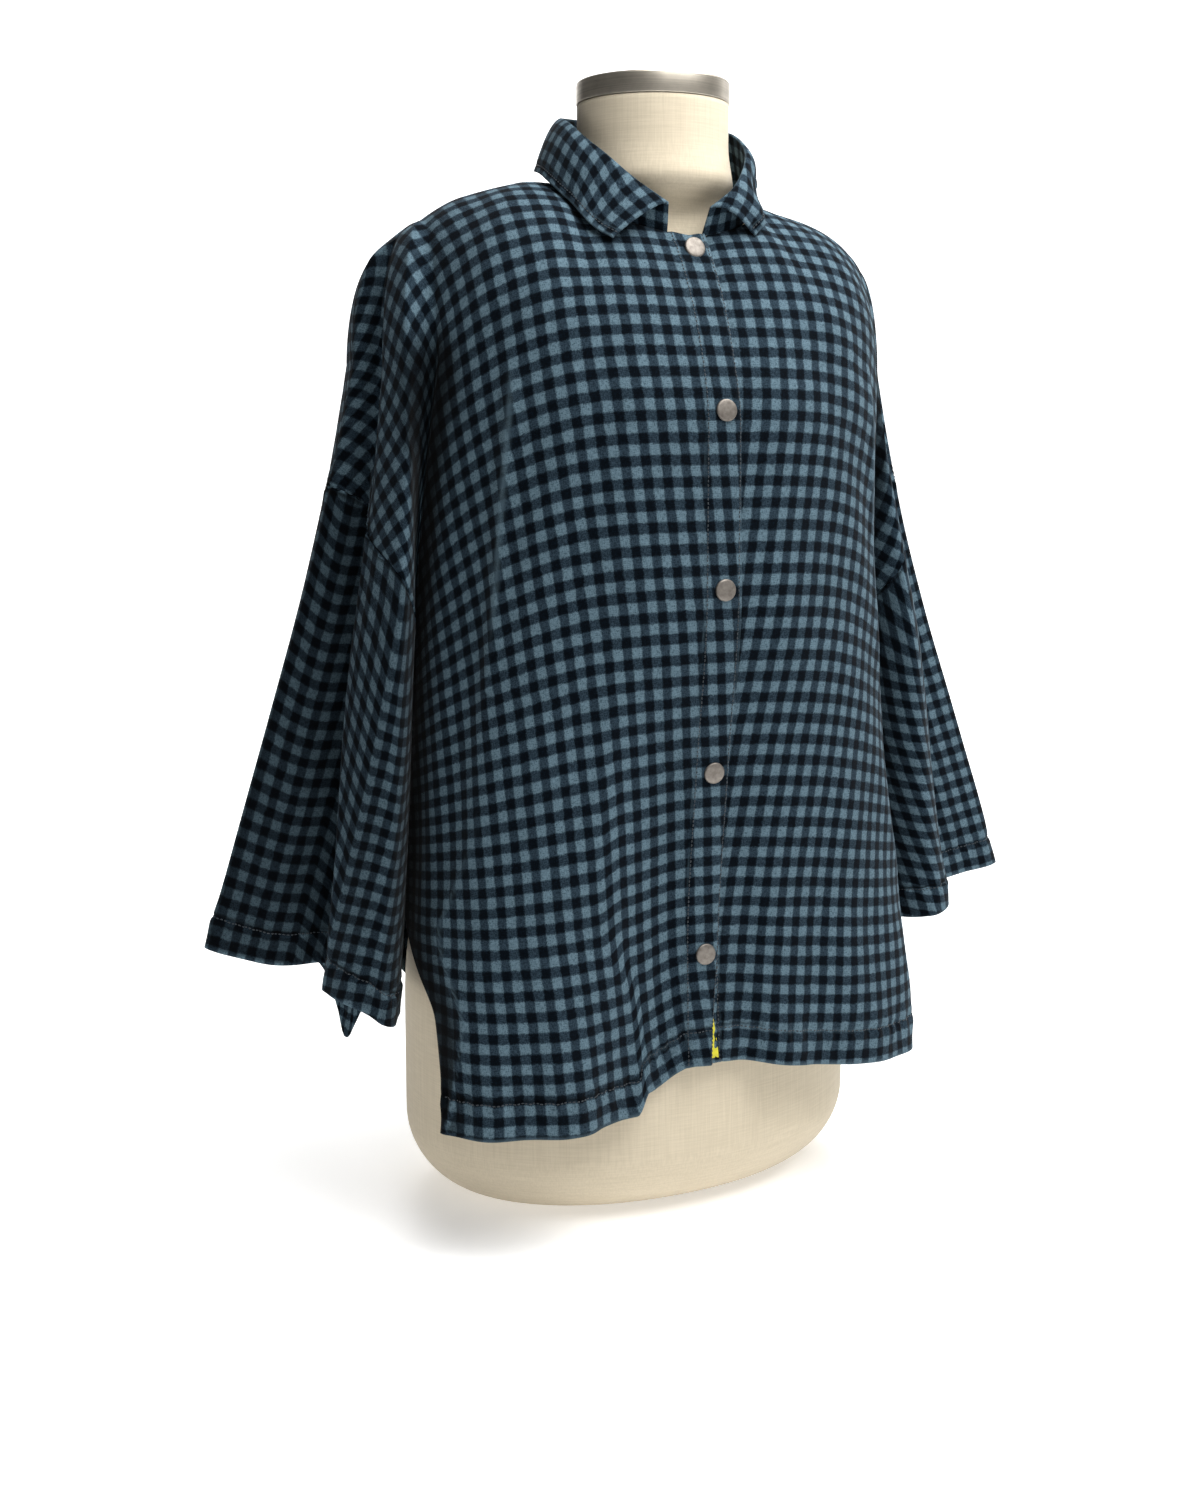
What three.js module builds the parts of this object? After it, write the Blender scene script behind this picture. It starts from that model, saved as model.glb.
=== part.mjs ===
import * as THREE from "three";

// Flannel shirt hanging on a limbless dress form. Millimetres, +Z up, the front
// faces -Y and the wearer's right is -X. The form's flat underside is centred on
// the origin. Every piece of cloth is a thin wall between an outer surface worked
// out from the tables below and the same surface moved in along its normals.

// Driving sizes
const WALL = 1.6;
const SEAM = 0.75;
const LAP_IN = 3.2;
const NECK_Y = -40;
const RING_TOP = 604;
const UNDERARM_Z = 382;
const OVERARM_SEAM_Z = 518;
const VENT_TOP = 222;
const HEM_Z = 80;
const BACK_HEM_Z = 66;
const CUFF_Z = 190;
const LIFT = 14;
const SNAP_R = 7.6;
const SNAP_H = 2.4;

// Cloth outline of the body at a height: half width, front and back faces along Y,
// and how square the front and the back are (2 is an ellipse)
const BODY = [
  { z: 40, half: 197, front: -139, back: 146, square: 6, backSquare: 2.5 },
  { z: 120, half: 194, front: -136, back: 143, square: 5.4, backSquare: 2.5 },
  { z: 200, half: 189, front: -133, back: 136, square: 4.4, backSquare: 2.6 },
  { z: 320, half: 182, front: -144, back: 118, square: 3.3, backSquare: 2.7 },
  { z: 450, half: 177, front: -159, back: 106, square: 2.5, backSquare: 2.5 },
  { z: 560, half: 178, front: -159, back: 98, square: 2.4, backSquare: 2.4 },
  { z: 640, half: 182, front: -139, back: 84, square: 2.4, backSquare: 2.4 },
];
const BODY_MID = -14;

// Sleeve outline at a height: outer edge, front fold, front face, inner wall, back
const ARM = [
  { z: 100, outer: 351, fold: 258, front: -80, inner: 202, back: 64 },
  { z: 190, outer: 329, fold: 250, front: -80, inner: 196, back: 64 },
  { z: 255, outer: 310, fold: 242, front: -78, inner: 191.5, back: 64 },
  { z: 365, outer: 277, fold: 232, front: -76, inner: 186, back: 62 },
  { z: 460, outer: 249, fold: 219, front: -76, inner: 183, back: 60 },
  { z: 560, outer: 224, fold: 207, front: -73, inner: 184, back: 56 },
  { z: 640, outer: 208, fold: 199, front: -66, inner: 188, back: 48 },
];

// Soft folds of the body: where each sits around the body (degrees from the centre
// front, the wearer's left positive) at its top and bottom, its width towards the
// front and away from it, its depth and its reach
const FOLDS = [
  { top: -34, low: -37, near: 10, far: 22, deep: 20, zTop: 430, zLow: 120 },
  { top: -13, low: -14, near: 7, far: 8, deep: -5, zTop: 400, zLow: 120 },
  { top: -58, low: -66, near: 7, far: 7, deep: -5, zTop: 560, zLow: 430 },
  { top: 30, low: 34, near: 15, far: 15, deep: 4, zTop: 420, zLow: 120 },
  { top: 52, low: 58, near: 9, far: 9, deep: -5, zTop: 430, zLow: 120 },
  { top: -150, low: -146, near: 12, far: 12, deep: 9, zTop: 500, zLow: 120 },
  { top: -126, low: -122, near: 9, far: 9, deep: -8, zTop: 420, zLow: 120 },
  { top: 154, low: 150, near: 12, far: 12, deep: 8, zTop: 480, zLow: 120 },
  { top: 128, low: 124, near: 9, far: 9, deep: -9, zTop: 430, zLow: 120 },
  { top: -174, low: -172, near: 9, far: 9, deep: -6, zTop: 460, zLow: 120 },
];

// Neckline from the centre front or back to the shoulder point, and the shoulder
// ridge from there to its tip: share of the panel, then across, Y and height
const NECK_FRONT = [
  { at: 0, x: 0, y: -99, z: 692 },
  { at: 0.16, x: 34, y: -96, z: 698 },
  { at: 0.3, x: 62, y: -76, z: 710 },
  { at: 0.4, x: 78, y: -34, z: 728 },
];
const NECK_BACK = [
  { at: 0, x: 0, y: 22, z: 741 },
  { at: 0.16, x: 32, y: 17, z: 740 },
  { at: 0.3, x: 58, y: 0, z: 736 },
  { at: 0.4, x: 78, y: -34, z: 728 },
];
const RIDGE = [
  { at: 0.4, x: 78, y: -34, z: 728 },
  { at: 0.66, x: 128, y: -22, z: 715 },
  { at: 0.86, x: 166, y: -12, z: 701 },
  { at: 1, x: 192, y: -6, z: 684 },
];

// Collar around the neck: degrees from the centre back, the place of its foot along
// the neckline (0 centre back, 0.4 shoulder, 0.8 centre front), then radius and
// height of the fold and of the free edge, and the edge's own angle
const COLLAR = [
  { a: 0, seat: 0, fr: 65, fz: 787, er: 79, ez: 750, ea: 0 },
  { a: 30, seat: 0.16, fr: 66, fz: 786, er: 80.5, ez: 748, ea: 30 },
  { a: 55, seat: 0.3, fr: 66, fz: 783, er: 83, ez: 745, ea: 54 },
  { a: 86, seat: 0.4, fr: 64, fz: 775, er: 86, ez: 739, ea: 84 },
  { a: 120, seat: 0.5, fr: 66.5, fz: 753, er: 90, ez: 716, ea: 114 },
  { a: 149, seat: 0.64, fr: 67, fz: 726, er: 95, ez: 695, ea: 130.5 },
  { a: 167, seat: 0.74, fr: 65, fz: 712, er: 96, ez: 686, ea: 140 },
];

// Dress form: half width, front and back faces, squareness at a height
const FORM = [
  { z: 56, half: 177, front: -126, back: 127, square: 2.1 },
  { z: 130, half: 177, front: -124, back: 127, square: 2.1 },
  { z: 220, half: 168, front: -112, back: 120, square: 2.1 },
  { z: 320, half: 142, front: -102, back: 92, square: 2.1 },
  { z: 380, half: 134, front: -106, back: 80, square: 2.1 },
  { z: 450, half: 144, front: -136, back: 82, square: 2.1 },
  { z: 520, half: 153, front: -148, back: 86, square: 2.1 },
  { z: 580, half: 160, front: -140, back: 82, square: 2.1 },
  { z: 630, half: 166, front: -116, back: 68, square: 2.1 },
  { z: 660, half: 166, front: -98, back: 50, square: 2.0 },
  { z: 682, half: 154, front: -87, back: 30, square: 1.9 },
  { z: 698, half: 124, front: -80, back: 14, square: 1.9 },
  { z: 712, half: 90, front: -76.3, back: 4, square: 1.9 },
  { z: 724, half: 66, front: -75, back: -2, square: 2.0 },
  { z: 740, half: 60, front: -80, back: 4, square: 2.0 },
];
const FORM_BASE_ROUND = 58;
const NECK_R = 54.5;
const NECK_TOP = 789;
const CAP_H = 15;

// Numbers

function clamp(v, lo, hi) {
  return Math.min(hi, Math.max(lo, v));
}

function smooth(lo, hi, v) {
  const t = clamp((v - lo) / (hi - lo), 0, 1);
  return t * t * (3 - 2 * t);
}

function mix(a, b, t) {
  return a + (b - a) * t;
}

// Value of one column of a table at a key, by a monotone cubic through its rows
function look(table, key, name, at) {
  const last = table.length - 1;
  if (at <= table[0][key]) {
    return table[0][name];
  }
  if (at >= table[last][key]) {
    return table[last][name];
  }
  let k = 0;
  while (at > table[k + 1][key]) {
    k += 1;
  }
  const slope = (i) => (table[i + 1][name] - table[i][name]) / (table[i + 1][key] - table[i][key]);
  const tangent = (i) => {
    if (i === 0) {
      return slope(0);
    }
    if (i === last) {
      return slope(last - 1);
    }
    const a = slope(i - 1);
    const b = slope(i);
    return a * b <= 0 ? 0 : (2 * a * b) / (a + b);
  };
  const span = table[k + 1][key] - table[k][key];
  const t = (at - table[k][key]) / span;
  const t2 = t * t;
  const t3 = t2 * t;
  return (2 * t3 - 3 * t2 + 1) * table[k][name] + (t3 - 2 * t2 + t) * span * tangent(k)
    + (3 * t2 - 2 * t3) * table[k + 1][name] + (t3 - t2) * span * tangent(k + 1);
}

// Body cloth

function foldDepth(angle, z) {
  const deg = (angle * 180) / Math.PI;
  let sum = 0;
  for (const f of FOLDS) {
    const grow = smooth(f.zTop, f.zLow, z);
    const centre = mix(f.top, f.low, grow);
    const off = Math.abs(deg) < Math.abs(centre) ? f.near : f.far;
    sum += f.deep * grow * Math.exp(-(((deg - centre) / off) ** 2));
  }
  return sum;
}

// Half width of the body; the wearer's left stands out a little at the hem and the
// back falls narrower below the vents
function halfWidth(side, angle, z) {
  const left = side > 0 ? 8 * (1 - smooth(90, 420, z)) : 2 * (1 - smooth(90, 300, z));
  const narrow = Math.abs(angle) > Math.PI / 2 ? 24 * ventOpen(z) : 0;
  return look(BODY, "z", "half", z) + left - narrow;
}

function ventOpen(z) {
  return smooth(VENT_TOP, HEM_Z, z);
}

// Point of the body outline at a height; the angle runs from 0 at the centre front
// over a quarter turn at the side to a half turn at the centre back
function bodyPoint(side, angle, z) {
  const half = halfWidth(side, angle, z);
  const face = look(BODY, "z", Math.abs(angle) < Math.PI / 2 ? "front" : "back", z);
  const deep = Math.abs(face - BODY_MID);
  const square = look(BODY, "z", Math.abs(angle) < Math.PI / 2 ? "square" : "backSquare", z);
  const across = Math.abs(Math.sin(angle)) / half;
  const along = Math.abs(Math.cos(angle)) / deep;
  let r = (across ** square + along ** square) ** (-1 / square);
  r += foldDepth(side * angle, z);
  return [side * r * Math.sin(angle), BODY_MID - r * Math.cos(angle), z];
}

// How far the fold between body and sleeve reaches towards the middle, along Y
function notchY(end, z) {
  const t = clamp((z - UNDERARM_Z) / (RING_TOP - UNDERARM_Z), 0, 1);
  const reach = end < 0 ? -64 : 40;
  const near = BODY_MID * 0.5 + end * 3.5;
  return near + (reach - near) * t ** 1.15;
}

function notchAngle(end, z) {
  const half = look(BODY, "z", "half", z);
  return Math.acos(clamp((BODY_MID - notchY(end, z)) / half, -1, 1));
}

// Sleeve cloth: a closed outline through ten points, t = 0 at the inner wall,
// forwards over the front fold and the outer edge (t = 0.6) and round the back
function armPoint(side, t, z) {
  const row = (name) => look(ARM, "z", name, z);
  const spread = side > 0 ? 1 + 0.045 * smooth(520, 190, z) : 1;
  const outer = row("outer") * spread;
  const slim = side > 0 ? smooth(380, 620, z) : 0;
  const fold = row("fold") * spread - 6 * slim;
  const front = row("front") * (1 - 0.4 * slim);
  const inner = row("inner") + (side > 0 ? 6 * (1 - smooth(90, 420, z)) : 0);
  const back = row("back");
  const pts = [
    [inner, -6],
    [inner, front * 0.55],
    [mix(inner, fold, 0.5), front],
    [fold, front * 0.56],
    [fold - 7, -11],
    [mix(outer, fold, 0.45), -9],
    [outer, -2],
    [mix(outer, fold, 0.5), back * 0.62],
    [mix(inner, fold, 0.6), back],
    [inner + 2, back * 0.6],
  ];
  const n = pts.length;
  const s = (((t % 1) + 1) % 1) * n;
  const k = Math.floor(s);
  const f = s - k;
  const p = [pts[(k + n - 1) % n], pts[k % n], pts[(k + 1) % n], pts[(k + 2) % n]];
  const w = [
    -0.5 * f ** 3 + f ** 2 - 0.5 * f,
    1.5 * f ** 3 - 2.5 * f ** 2 + 1,
    -1.5 * f ** 3 + 2 * f ** 2 + 0.5 * f,
    0.5 * f ** 3 - 0.5 * f ** 2,
  ];
  let x = 0;
  let y = 0;
  for (let i = 0; i < 4; i += 1) {
    x += w[i] * p[i][0];
    y += w[i] * p[i][1];
  }
  return [side * x, y, z];
}

// Place on the sleeve outline where its inner wall reaches the notch
function notchOnArm(end, z) {
  const goal = notchY(end, z);
  let lo = 0;
  let hi = end < 0 ? 0.19 : -0.19;
  for (let i = 0; i < 24; i += 1) {
    const mid = (lo + hi) / 2;
    if ((armPoint(1, mid, z)[1] - goal) * end < 0) {
      lo = mid;
    } else {
      hi = mid;
    }
  }
  return (lo + hi) / 2;
}

// Height of the sleeve seam, q = 0 at the underarm and 1 at the overarm line
function seamHeight(q) {
  return UNDERARM_Z + (OVERARM_SEAM_Z - UNDERARM_Z) * (1 - (1 - clamp(q, 0, 1)) ** 2.6);
}

// The same for a place on the sleeve outline
function sleeveSeamZ(t) {
  const end = t <= 0.6 ? -1 : 1;
  const place = end < 0 ? t : t - 1;
  const goal = end < 0 ? 0.6 : -0.4;
  let lo = 0;
  let hi = 1;
  for (let i = 0; i < 24; i += 1) {
    const q = (lo + hi) / 2;
    const from = notchOnArm(end, seamHeight(q));
    if (Math.abs(mix(from, goal, q)) < Math.abs(place)) {
      lo = q;
    } else {
      hi = q;
    }
  }
  return seamHeight(lo);
}

// Front or back half of the garment. u runs 0..1 from the centre to the notch and
// 1..2 from the notch over the sleeve cap to the overarm line; v runs 0..1 over the
// yoke, 1..2 down to the underarm and the sleeve seam, 2..3 down to the hem
function halfPoint(end, side, u, v) {
  const ring = (z) => {
    if (u <= 1) {
      const stop = v > 2 ? sideAngle(end, side, z) : notchAngle(end, z);
      const start = end < 0 ? 0 : Math.PI;
      return bodyPoint(side, mix(start, stop, u), z);
    }
    const from = notchOnArm(end, z);
    return armPoint(side, mix(from, end < 0 ? 0.6 : -0.4, clamp(u - 1, 0, 1)), z);
  };
  if (v > 2) {
    const low = end < 0 ? frontHemZ(side, u) : BACK_HEM_Z;
    return ring(mix(UNDERARM_Z, low, v - 2));
  }
  if (v >= 1) {
    const foot = u > 1 ? seamHeight(u - 1) : UNDERARM_Z;
    return ring(mix(RING_TOP, foot, v - 1));
  }
  const place = u <= 1 ? Math.abs(u) * 0.86 : 0.86 + (u - 1) * 0.14;
  const neck = end < 0 ? NECK_FRONT : NECK_BACK;
  const table = place < 0.4 ? neck : RIDGE;
  const hunch = (side < 0 ? 7 : -3) * smooth(0.4, 0.6, place) * (1 - smooth(0.7, 0.95, place));
  const top = [
    side * Math.sign(u || 1) * look(table, "at", "x", place),
    look(table, "at", "y", place),
    look(table, "at", "z", place) + hunch,
  ];
  const low = ring(RING_TOP);
  const round = mix(0.3, 1, smooth(0.1, 0.75, Math.abs(u)));
  const go = mix(v, Math.sin((v * Math.PI) / 2), round);
  const drop = mix(v, 1 - Math.cos((v * Math.PI) / 2), round);
  return [mix(top[0], low[0], go), mix(top[1], low[1], go), mix(top[2], low[2], drop)];
}

function sideAngle(end, side, z) {
  if (end < 0) {
    const open = 0.6 * smooth(VENT_TOP, 150, z) + 0.4 * ventOpen(z);
    return Math.PI / 2 - 0.035 - open * (side < 0 ? 0.44 : 0.3);
  }
  return Math.PI / 2 + 0.035 + ventOpen(z) * (side < 0 ? 0.62 : 0.4);
}

function frontHemZ(side, u) {
  if (side < 0) {
    const step = 15 * (1 - smooth(0.31, 0.4, Math.abs(u)));
    return HEM_Z - 2 + step + 14 * (1 - smooth(0.05, 0.33, Math.abs(u)));
  }
  return HEM_Z + 3 + 24 * (1 - smooth(0.05, 0.95, Math.abs(u)));
}

// Thin walls

function sub(a, b) {
  return [a[0] - b[0], a[1] - b[1], a[2] - b[2]];
}

function cross(a, b) {
  return [a[1] * b[2] - a[2] * b[1], a[2] * b[0] - a[0] * b[2], a[0] * b[1] - a[1] * b[0]];
}

function unit(a) {
  const l = Math.hypot(a[0], a[1], a[2]) || 1;
  return [a[0] / l, a[1] / l, a[2] / l];
}

function material(name, hex, metal, rough) {
  const m = new THREE.MeshStandardMaterial({ color: hex, metalness: metal, roughness: rough });
  m.name = name;
  return m;
}

function meshOf(name, points, faces, mat) {
  const g = new THREE.BufferGeometry();
  const placed = points.map((p) => [p[0], p[1], p[2] + LIFT]);
  g.setAttribute("position", new THREE.Float32BufferAttribute(placed.flat(), 3));
  g.setIndex(faces.flat());
  g.computeVertexNormals();
  const mesh = new THREE.Mesh(g, mat);
  mesh.name = name;
  return mesh;
}

// Closed wall from a grid of points (null where there is no cloth). Rows run down,
// columns run so that the outer side shows; "loop" joins the last column to the first
function wall(name, grid, mat, { thick = WALL, loop = false, flip = false, lean = null } = {}) {
  const rows = grid.length;
  const cols = grid[0].length;
  const id = grid.map((row) => row.map(() => -1));
  const outer = [];
  for (let j = 0; j < rows; j += 1) {
    for (let i = 0; i < cols; i += 1) {
      if (grid[j][i]) {
        id[j][i] = outer.length;
        outer.push(grid[j][i]);
      }
    }
  }
  const quads = [];
  const wide = loop ? cols : cols - 1;
  for (let j = 0; j < rows - 1; j += 1) {
    for (let i = 0; i < wide; i += 1) {
      const k = (i + 1) % cols;
      const q = [id[j][i], id[j + 1][i], id[j + 1][k], id[j][k]];
      if (q.every((v) => v >= 0)) {
        quads.push(flip ? [q[3], q[2], q[1], q[0]] : q);
      }
    }
  }
  const normals = outer.map(() => [0, 0, 0]);
  for (const q of quads) {
    const n = cross(sub(outer[q[2]], outer[q[0]]), sub(outer[q[3]], outer[q[1]]));
    for (const v of q) {
      normals[v] = [normals[v][0] + n[0], normals[v][1] + n[1], normals[v][2] + n[2]];
    }
  }
  if (lean) {
    for (let j = 0; j < rows; j += 1) {
      for (let i = 0; i < cols; i += 1) {
        const n = id[j][i] >= 0 ? lean(j, i) : null;
        if (n) {
          normals[id[j][i]] = n;
        }
      }
    }
  }
  const inner = outer.map((p, v) => {
    const n = unit(normals[v]);
    return [p[0] - n[0] * thick, p[1] - n[1] * thick, p[2] - n[2] * thick];
  });
  const shift = outer.length;
  const faces = [];
  const edges = new Map();
  for (const [a, b, c, d] of quads) {
    faces.push([a, b, c], [a, c, d]);
    faces.push([a + shift, c + shift, b + shift], [a + shift, d + shift, c + shift]);
    for (const [p, q] of [[a, b], [b, c], [c, d], [d, a]]) {
      if (edges.has(`${q}_${p}`)) {
        edges.delete(`${q}_${p}`);
      } else {
        edges.set(`${p}_${q}`, [p, q]);
      }
    }
  }
  for (const [p, q] of edges.values()) {
    faces.push([q, p, p + shift], [q, p + shift, q + shift]);
  }
  return meshOf(name, outer.concat(inner), faces, mat);
}

// Closed body from stacked loops of equal length, first and last loop capped flat
function stack(name, loops, mat) {
  const n = loops[0].length;
  const pts = loops.flat();
  const faces = [];
  for (let j = 0; j < loops.length - 1; j += 1) {
    for (let i = 0; i < n; i += 1) {
      const k = (i + 1) % n;
      const a = j * n + i;
      const b = j * n + k;
      faces.push([a, b, b + n], [a, b + n, a + n]);
    }
  }
  const foot = pts.length;
  const mid = (loop) => [0, 1, 2].map((c) => loop.reduce((s, p) => s + p[c], 0) / n);
  pts.push(mid(loops[0]), mid(loops[loops.length - 1]));
  const top = (loops.length - 1) * n;
  for (let i = 0; i < n; i += 1) {
    const k = (i + 1) % n;
    faces.push([foot, k, i], [foot + 1, top + i, top + k]);
  }
  return meshOf(name, pts, faces, mat);
}

// Materials, one for each piece
const CLOTH = 0x33464f;
const LINEN = 0xcfc6b2;
const METAL = 0xa79f92;

// Spacing of columns and rows over a panel
const HPS = 0.4 / 0.86;
const BODY_COLS = [0, 0.08, 0.17, 0.26, 0.34, 0.41, HPS, 0.55, 0.64, 0.73, 0.82, 0.89, 0.95, 1];
const CAP_COLS = [1.02, 1.1, 1.2, 1.3, 1.4, 1.5, 1.6, 1.7, 1.8, 1.9, 2];
const YOKE_ROWS = [0, 0.14, 0.3, 0.5, 0.72, 0.9];
const CHEST_ROWS = [1, 1.14, 1.3, 1.46, 1.62, 1.8, 2];
const SKIRT_ROWS = [2.12, 2.28, 2.42, 2.5, 2.6, 2.7, 2.8, 2.9, 3];

function inset(p, q, gap) {
  const d = unit(sub(q, p));
  return [p[0] + d[0] * gap, p[1] + d[1] * gap, p[2] + d[2] * gap];
}

function panelPoint(end, side, u, v) {
  let p = halfPoint(end, side, u, v);
  if (u > 1 && u < 1.03 && v >= 1) {
    const a = halfPoint(end, side, 1, v);
    const b = halfPoint(end, side, 1.03, v);
    p = [(a[0] + b[0]) / 2, (a[1] + b[1]) / 2 - end * 3, (a[2] + b[2]) / 2];
  }
  return p;
}

// One front: from its own edge past the centre to the side and over the cap
function front(name, side, mat) {
  const lap = side < 0 ? 13 : 15;
  const edge = [-1, -0.45];
  const vs = [...YOKE_ROWS, ...CHEST_ROWS, ...SKIRT_ROWS];
  const us = [...edge, ...BODY_COLS, ...CAP_COLS];
  const grid = vs.map((v) => us.map((u0) => {
    if (v > 2 && u0 > 1) {
      return null;
    }
    let u = u0;
    if (u0 < 0) {
      const kick = side < 0 ? 8 * smooth(2.7, 3, v) : 0;
      u = u0 * (v < 1 ? mix(lap / 190, lap / 225, v) : (lap - kick) / 225);
    }
    let p = panelPoint(-1, side, u, v);
    if (u0 === 2 || (v === 0 && u0 >= HPS)) {
      p = [p[0], p[1] - SEAM, p[2]];
    }
    if (v === 2 && u0 > 1) {
      p = inset(p, panelPoint(-1, side, u, 1.97), side > 0 ? 2 * SEAM : SEAM);
    }
    if (side > 0) {
      const tuck = LAP_IN * (1 - smooth(16, 52, p[0]));
      p = [p[0], p[1] + tuck, p[2] - (v < 1 ? tuck * 0.7 : 0)];
    }
    return p;
  }));
  const lean = (j, i) => {
    const u0 = us[i];
    if (u0 === 2) {
      return [side * 0.97, 0, 0.24];
    }
    if (vs[j] === 0 && u0 >= HPS) {
      return [side * 0.36, 0, 0.93];
    }
    if (u0 === 1 && vs[j] > 2) {
      return vs[j] < 2.5 ? [side, 0, 0] : null;
    }
    return null;
  };
  return wall(name, grid, mat, { flip: side < 0, lean });
}

// Back: one panel from overarm to overarm
function back(name, mat) {
  const vs = [...YOKE_ROWS, ...CHEST_ROWS, ...SKIRT_ROWS];
  const half = [...BODY_COLS.slice(1), ...CAP_COLS];
  const us = [
    ...half.slice().reverse().map((u) => [-1, u]),
    [1, 0],
    ...half.map((u) => [1, u]),
  ];
  const grid = vs.map((v) => us.map(([side, u]) => {
    if (v > 2 && u > 1) {
      return null;
    }
    let p = panelPoint(1, side, u, v);
    if (u === 2 || (v === 0 && u >= HPS)) {
      p = [p[0], p[1] + SEAM, p[2]];
    }
    if (v === 2 && u > 1) {
      p = inset(p, panelPoint(1, side, u, 1.97), SEAM);
    }
    return p;
  }));
  const lean = (j, i) => {
    const [side, u0] = us[i];
    if (u0 === 2) {
      return [side * 0.97, 0, 0.24];
    }
    if (vs[j] === 0 && u0 >= HPS) {
      return [side * 0.36, 0, 0.93];
    }
    if (u0 === 1 && vs[j] > 2) {
      return vs[j] < 2.5 ? [side, 0, 0] : null;
    }
    return null;
  };
  return wall(name, grid, mat, { flip: true, lean });
}

// Sleeve: an open tube from the seam to the cuff
function cuffZ(side, t, x) {
  const slope = side < 0 ? 0.36 : 0.14;
  const low = CUFF_Z - slope * (look(ARM, "z", "outer", CUFF_Z) - Math.abs(x));
  const tail = side < 0 ? 30 * Math.exp(-(((t - 0.86) / 0.03) ** 2)) : 0;
  return low - tail;
}

function sleevePoint(side, t, v) {
  const top = sleeveSeamZ(t);
  const x = armPoint(1, t, CUFF_Z)[0];
  const z = mix(top, cuffZ(side, t, x), v);
  return armPoint(side, t, z);
}

// Columns of the sleeve: the same places on the seam as the columns of the cap
function sleeveColumns() {
  const spots = (end, goal) => CAP_COLS.map((u) => mix(notchOnArm(end, seamHeight(u - 1)), goal, u - 1));
  const fore = spots(-1, 0.6);
  const aft = spots(1, -0.4).slice(0, -1).map((t) => 1 + t);
  return [...fore, ...aft.reverse()];
}

function sleeve(name, side, mat) {
  const ts = sleeveColumns();
  const vs = [0, 0.12, 0.26, 0.42, 0.58, 0.74, 0.88, 1];
  const grid = vs.map((v) => ts.map((t) => {
    const p = sleevePoint(side, t, v);
    return v === 0 ? inset(p, sleevePoint(side, t, 0.02), SEAM) : p;
  }));
  return wall(name, grid, mat, { loop: true, flip: side < 0 });
}

// Collar: stand and fall in one, folded over
function neckPoint(side, seat) {
  const at = seat < 0.4 ? seat : 0.8 - seat;
  const table = seat < 0.4 ? NECK_BACK : NECK_FRONT;
  return [side * look(table, "at", "x", at), look(table, "at", "y", at), look(table, "at", "z", at)];
}

function collarPoint(t, w) {
  const side = t < 0 ? -1 : 1;
  const a = Math.abs(t) * (side < 0 ? 165 : 167);
  const trim = side > 0 ? 13 * smooth(30, 120, a) : 0;
  const raise = { er: -trim, ez: trim * 0.75 };
  const c = (name) => look(COLLAR, "a", name, a) + (raise[name] || 0);
  const rad = Math.PI / 180;
  const spot = (r, z, ang) => {
    const g = side * ang * rad;
    return [r * Math.sin(g), NECK_Y + r * Math.cos(g), z];
  };
  const lerp3 = (p, q, k) => [mix(p[0], q[0], k), mix(p[1], q[1], k), mix(p[2], q[2], k)];
  const top = spot(c("fr"), c("fz"), a);
  const edge = spot(c("er"), c("ez"), c("ea"));
  if (w < 0.4) {
    const foot = inset(neckPoint(side, c("seat")), top, SEAM);
    return lerp3(foot, top, w / 0.4);
  }
  const k = (w - 0.4) / 0.6;
  const q = lerp3(top, edge, k);
  const out = 3.4 * Math.sin(Math.PI * clamp(k, 0, 1) ** 0.6);
  const g = side * mix(a, c("ea"), k) * rad;
  return [q[0] + out * Math.sin(g), q[1] + out * Math.cos(g), q[2] + out * 0.8];
}

function collar(name, mat) {
  const ts = [];
  for (let i = 0; i <= 36; i += 1) {
    ts.push(-1 + i / 18);
  }
  const ws = [0, 0.2, 0.37, 0.4, 0.46, 0.6, 0.8, 1];
  const grid = ws.map((w) => ts.map((t) => collarPoint(t, w)));
  return wall(name, grid, mat, { flip: true, thick: 1.4 });
}

// Small plain tab on the underlap at the hem, between the two fronts
function hemTab(name, mat) {
  const vs = [2.78, 2.85, 2.92, 2.985];
  const us = [0, 0.25, 0.5, 0.75, 1];
  const grid = vs.map((v) => us.map((k) => {
    const x = mix(-9, mix(7.5, 12.5, smooth(2.78, 3, v)), k);
    const p = halfPoint(-1, 1, x / 225, v);
    return [p[0], p[1] + LAP_IN - 1, p[2]];
  }));
  return wall(name, grid, mat, { thick: 0.6 });
}

// Snaps: round caps sitting on the front edge, by height
const SNAP_Z = [684, 571, 450, 321, 188];

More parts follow.
